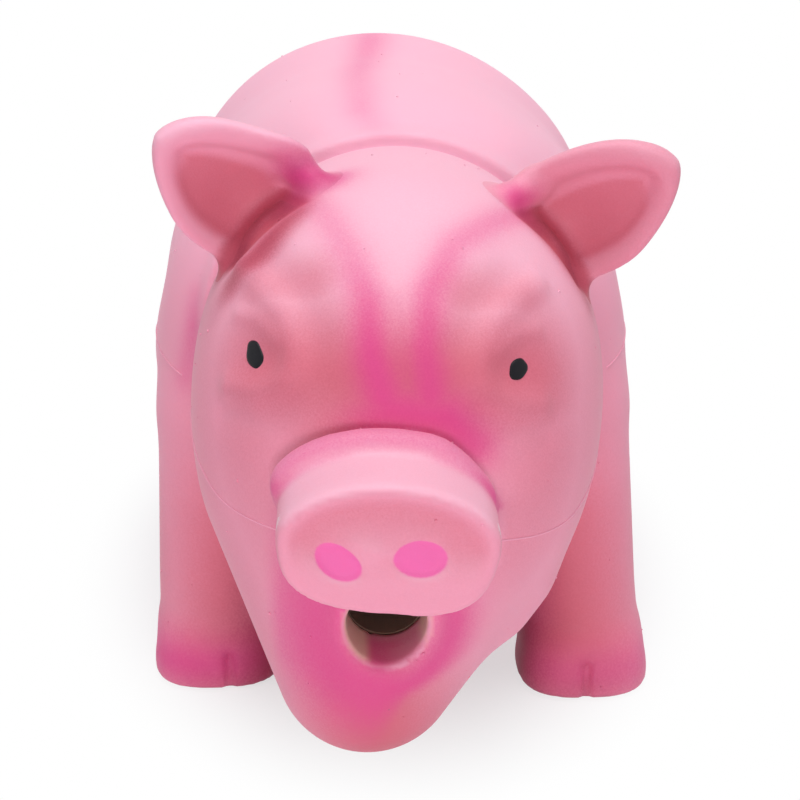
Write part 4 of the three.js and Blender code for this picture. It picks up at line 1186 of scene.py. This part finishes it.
def bead_tree():
    """A round bead along a line of edges."""
    tree, given, out = new_geometry_tree("mould_bead", [
        ("Radius", "NodeSocketFloat"), ("Finish", "NodeSocketMaterial")])
    curve = add_node(tree, "GeometryNodeMeshToCurve", {"Mesh": given["Geometry"]})
    profile = add_node(tree, "GeometryNodeCurvePrimitiveCircle", {"Resolution": 8, "Radius": given["Radius"]})
    bead = add_node(tree, "GeometryNodeCurveToMesh", {
        "Curve": curve.outputs["Curve"], "Profile Curve": profile.outputs["Curve"], "Fill Caps": True})
    return finished_tree(tree, bead.outputs["Mesh"], given["Finish"], out)


def pimple_tree():
    """Small domes scattered on a skin."""
    tree, given, out = new_geometry_tree("latex_pimples", [
        ("Radius", "NodeSocketFloat"), ("Density", "NodeSocketFloat"), ("Seed", "NodeSocketInt"),
        ("Finish", "NodeSocketMaterial")])
    spread = add_node(tree, "GeometryNodeDistributePointsOnFaces", {
        "Mesh": given["Geometry"], "Density": given["Density"], "Seed": given["Seed"]})
    ball = add_node(tree, "GeometryNodeMeshIcoSphere", {"Radius": given["Radius"], "Subdivisions": 2})
    factor = add_node(tree, "FunctionNodeRandomValue", {"Seed": given["Seed"]}, data_type="FLOAT")
    factor.inputs[2].default_value, factor.inputs[3].default_value = 0.45, 1.15
    placed = add_node(tree, "GeometryNodeInstanceOnPoints", {
        "Points": spread.outputs["Points"], "Instance": ball.outputs["Mesh"],
        "Rotation": spread.outputs["Rotation"], "Scale": factor.outputs[1]})
    return finished_tree(tree, placed.outputs["Instances"], given["Finish"], out)


def run_tree(name, mesh, tree, **values):
    """Runs a geometry tree on a mesh and returns the result as a plain mesh."""
    carrier = bpy.data.objects.new(name + "_source", mesh)
    bpy.context.scene.collection.objects.link(carrier)
    modifier = carrier.modifiers.new(name, "NODES")
    modifier.node_group = tree
    for item in tree.interface.items_tree:
        if item.in_out == "INPUT" and item.name in values:
            modifier[item.identifier] = values[item.name]
    evaluated = carrier.evaluated_get(bpy.context.evaluated_depsgraph_get())
    result = bpy.data.meshes.new_from_object(evaluated)
    carrier.modifiers.remove(modifier)
    bpy.data.objects.remove(carrier)
    result.name = name
    return result


def line_mesh(name, points):
    mesh = bpy.data.meshes.new(name)
    edges = [(n, n + 1) for n in range(len(points) - 1)]
    mesh.from_pydata((points * MM).tolist(), edges, [])
    return mesh


class PIG_OT_mould_lines(bpy.types.Operator):
    """Lays the fine bead of the mould's parting line along the cheeks and flanks"""

    bl_idname = "pig.mould_lines"
    bl_label = "Mould lines"

    def execute(self, context):
        sizes = context.scene.pig_sizes
        tree = bead_tree()
        cheek = ((22, -50, -23), (28, -41, -24), (34, -31, -23.5),
                 (38, -20, -20), (42, -8, -15), (42, 2, -11))
        flank = ((50, -62, -4), (58, -34, -2), (60, 6, -2), (58, 41, 0), (46, 71, 4), (18, 82, 10))
        for word, side in SIDES:
            for part, stations, middle, field, turn, name in (
                    ("cheek", cheek, HEAD, head_field, HEAD_LEAN, "head_latex_finish"),
                    ("flank", flank, TORSO, body_field, 0.0, "body_latex_finish")):
                route = lean_head(smooth_route(middle + np.array(stations) * (side, 1, 1), 90), turn)
                route = settle(settle(route, lambda p, f=field: f(p, sizes), 30.0),
                               lambda p, f=field: f(p, sizes), 30.0)
                label = f"{word}_{part}_mould_line"
                finish = finishes()[name]
                mesh = run_tree(label, line_mesh(label, route), tree, Radius=sizes.seam, Finish=finish)
                piece = new_piece(label, mesh, finish)
                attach(piece, "skin")
        return {"FINISHED"}


def smooth_route(stations, count):
    """Points along a smooth curve through the stations."""
    ends = np.concatenate([2 * stations[:1] - stations[1:2], stations, 2 * stations[-1:] - stations[-2:-1]])
    place = np.linspace(0, len(stations) - 1 - 1e-6, count)
    n = place.astype(int)
    t = (place - n)[:, None]
    a, b, c, d = (ends[n + k] for k in range(4))
    return 0.5 * (2 * b + (c - a) * t + (2 * a - 5 * b + 4 * c - d) * t**2 + (3 * b - a - 3 * c + d) * t**3)


class PIG_OT_pimples(bpy.types.Operator):
    """Scatters the small pimples that air leaves in moulded latex"""

    bl_idname = "pig.pimples"
    bl_label = "Pimples"

    def execute(self, context):
        sizes = context.scene.pig_sizes
        tree = pimple_tree()
        for part, density, seed in (("head", 2600.0, 4), ("body", 1300.0, 9)):
            name = part + "_pimples"
            finish = finishes()[part + "_latex_finish"]
            source = bpy.data.objects[part + "_latex"].data.copy()
            mesh = run_tree(name, source, tree, Radius=sizes.pimple, Density=density, Seed=seed,
                            Finish=finish)
            piece = new_piece(name, mesh, finish)
            if part == "head":
                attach(piece, "skin")
            else:
                press_blend(piece)
        return {"FINISHED"}


class PIG_OT_grunter(bpy.types.Operator):
    """Gives the grunter's pieces their plastic and brass finishes"""

    bl_idname = "pig.grunter"
    bl_label = "Grunter finishes"

    def execute(self, context):
        for node, name in (
                ("grunter_barrel", "shaded_barrel_finish"), ("grunter_guard", "shaded_barrel_finish"),
                ("reed_plate", "shaded_reed_holder_finish"), ("reed_tongue", "shaded_reed_holder_finish"),
                ("reed_clip", "shaded_reed_holder_finish"), ("reed_blade", "reed_brass_finish")):
            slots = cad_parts[node].data.materials
            slots.clear()
            slots.append(finishes()[name])
        return {"FINISHED"}


# Stage

CAMERA_PLACE = Vector((-0.0125, -0.39621, 0.205))
CAMERA_PITCH, CAMERA_YAW, CAMERA_ROLL = math.radians(20.09), math.radians(2.11), math.radians(-0.33)
CAMERA_LENS, CAMERA_SENSOR = 76.05, 36.0


def camera_matrix():
    forward = Vector((math.sin(CAMERA_YAW) * math.cos(CAMERA_PITCH),
                      math.cos(CAMERA_YAW) * math.cos(CAMERA_PITCH), -math.sin(CAMERA_PITCH)))
    right = Vector((math.cos(CAMERA_YAW), -math.sin(CAMERA_YAW), 0))
    up = right.cross(forward)
    rolled = math.cos(CAMERA_ROLL) * right + math.sin(CAMERA_ROLL) * up
    upward = math.cos(CAMERA_ROLL) * up - math.sin(CAMERA_ROLL) * right
    turn = Matrix((rolled, upward, -forward)).transposed().to_4x4()
    return Matrix.Translation(CAMERA_PLACE) @ turn


def add_lamp(name, place, target, width, power):
    lamp = bpy.data.lights.new(name, "AREA")
    lamp.shape, lamp.size, lamp.energy = "DISK", width, power
    holder = bpy.data.objects.new(name, lamp)
    bpy.context.scene.collection.objects.link(holder)
    holder.location = place
    holder.rotation_euler = (Vector(target) - Vector(place)).to_track_quat("-Z", "Y").to_euler()


def seen_directly(tree):
    """One where the ray comes from the camera, a mirror or glass."""
    path = tree.nodes.new("ShaderNodeLightPath").outputs
    seen = math_node(tree, "MAXIMUM", path["Is Camera Ray"], path["Is Glossy Ray"])
    return math_node(tree, "MAXIMUM", seen, path["Is Transmission Ray"])


class PIG_OT_stage(bpy.types.Operator):
    """Sets the floor, the lamps, the sky and the camera"""

    bl_idname = "pig.stage"
    bl_label = "Stage"

    def execute(self, context):
        light = context.scene.pig_stage
        scene = context.scene
        scene.view_settings.view_transform = "Standard"
        world = bpy.data.worlds.new("studio")
        scene.world = world
        world.use_nodes = True
        tree = world.node_tree
        tree.nodes.clear()
        output = tree.nodes.new("ShaderNodeOutputWorld")
        seen = add_node(tree, "ShaderNodeBackground", {"Color": (1, 1, 1, 1), "Strength": 1.0})
        lit = add_node(tree, "ShaderNodeBackground", {"Color": (1, 0.98, 0.985, 1), "Strength": light.sky})
        mixed = add_node(tree, "ShaderNodeMixShader", {
            0: seen_directly(tree), 1: lit.outputs[0], 2: seen.outputs[0]})
        tree.links.new(mixed.outputs[0], output.inputs["Surface"])
        floor = bpy.data.meshes.new("floor")
        reach = 3.0
        corners = [(-reach, -reach, 0), (reach, -reach, 0), (reach, reach, 0), (-reach, reach, 0)]
        floor.from_pydata(corners, [], [(0, 1, 2, 3)])
        floor.materials.append(floor_material())
        ground = bpy.data.objects.new("floor", floor)
        scene.collection.objects.link(ground)
        add_lamp("key", (0.03, 0.02, 0.98), (0, 0.0, 0.08), 0.6, light.key)
        add_lamp("fill", (-0.05, -1.0, 0.16), (0, 0, 0.06), 0.3, light.fill)
        view = bpy.data.cameras.new("camera")
        view.lens, view.sensor_width = CAMERA_LENS, CAMERA_SENSOR
        view.clip_start, view.clip_end = 0.01, 20
        camera = bpy.data.objects.new("camera", view)
        scene.collection.objects.link(camera)
        camera.matrix_world = camera_matrix()
        scene.camera = camera
        return {"FINISHED"}


def floor_material():
    """Pale floor that stays white to the camera and keeps the shadow."""
    material, tree, shader, place = new_material("floor_finish")
    cloud = add_node(tree, "ShaderNodeTexNoise", {"Vector": place, "Scale": 3.0})
    tone = mix_colour(tree, cloud.outputs["Fac"], (0.83, 0.86, 0.89, 1), (0.85, 0.88, 0.91, 1))
    tree.links.new(tone, shader.inputs["Base Color"])
    set_inputs(shader, Roughness=0.9, Specular_IOR_Level=0.1)
    glow = add_node(tree, "ShaderNodeEmission", {"Color": (1, 1, 1, 1), "Strength": 1.0})
    oval = add_node(tree, "ShaderNodeVectorMath", {0: place, 1: (1, 0.62, 1), 2: (0, -0.031, 0)},
                    operation="MULTIPLY_ADD").outputs["Vector"]
    away = add_node(tree, "ShaderNodeVectorMath", {0: oval}, operation="LENGTH").outputs["Value"]
    white = add_node(tree, "ShaderNodeMapRange", {0: away, 1: 0.05, 2: 0.09, 3: 0.56, 4: 1.0},
                     interpolation_type="SMOOTHSTEP").outputs[0]
    share = math_node(tree, "MULTIPLY", seen_directly(tree), white)
    mixed = add_node(tree, "ShaderNodeMixShader", {0: share, 1: shader.outputs[0], 2: glow.outputs[0]})
    output = next(n for n in tree.nodes if n.type == "OUTPUT_MATERIAL")
    tree.links.new(mixed.outputs[0], output.inputs["Surface"])
    return material


# Panel and registration

ORDER = ("body", "head", "ears", "tail", "eyes", "mould_lines", "pimples", "grunter", "stage")


class PIG_PT_panel(bpy.types.Panel):
    """Lists the pig's pieces, sizes and colours"""

    bl_idname = "PIG_PT_panel"
    bl_label = "Latex pig"
    bl_space_type = "VIEW_3D"
    bl_region_type = "UI"
    bl_category = "Pig"

    def draw(self, context):
        for name in ORDER:
            self.layout.operator("pig." + name)
        for group in (context.scene.pig_sizes, context.scene.pig_colours, context.scene.pig_stage):
            for key in group.__annotations__:
                self.layout.prop(group, key)


CLASSES = (
    PigSizes, PigColours, PigStage, PIG_OT_body, PIG_OT_head, PIG_OT_ears, PIG_OT_tail, PIG_OT_eyes,
    PIG_OT_mould_lines, PIG_OT_pimples, PIG_OT_grunter, PIG_OT_stage, PIG_PT_panel)


def register():
    for item in CLASSES:
        bpy.utils.register_class(item)
    bpy.types.Scene.pig_sizes = bpy.props.PointerProperty(type=PigSizes)
    bpy.types.Scene.pig_colours = bpy.props.PointerProperty(type=PigColours)
    bpy.types.Scene.pig_stage = bpy.props.PointerProperty(type=PigStage)


def unregister():
    del bpy.types.Scene.pig_stage, bpy.types.Scene.pig_colours, bpy.types.Scene.pig_sizes
    for item in reversed(CLASSES):
        bpy.utils.unregister_class(item)


def main():
    register()
    for name in ORDER:
        getattr(bpy.ops.pig, name)()


if __name__ == "__main__":
    main()
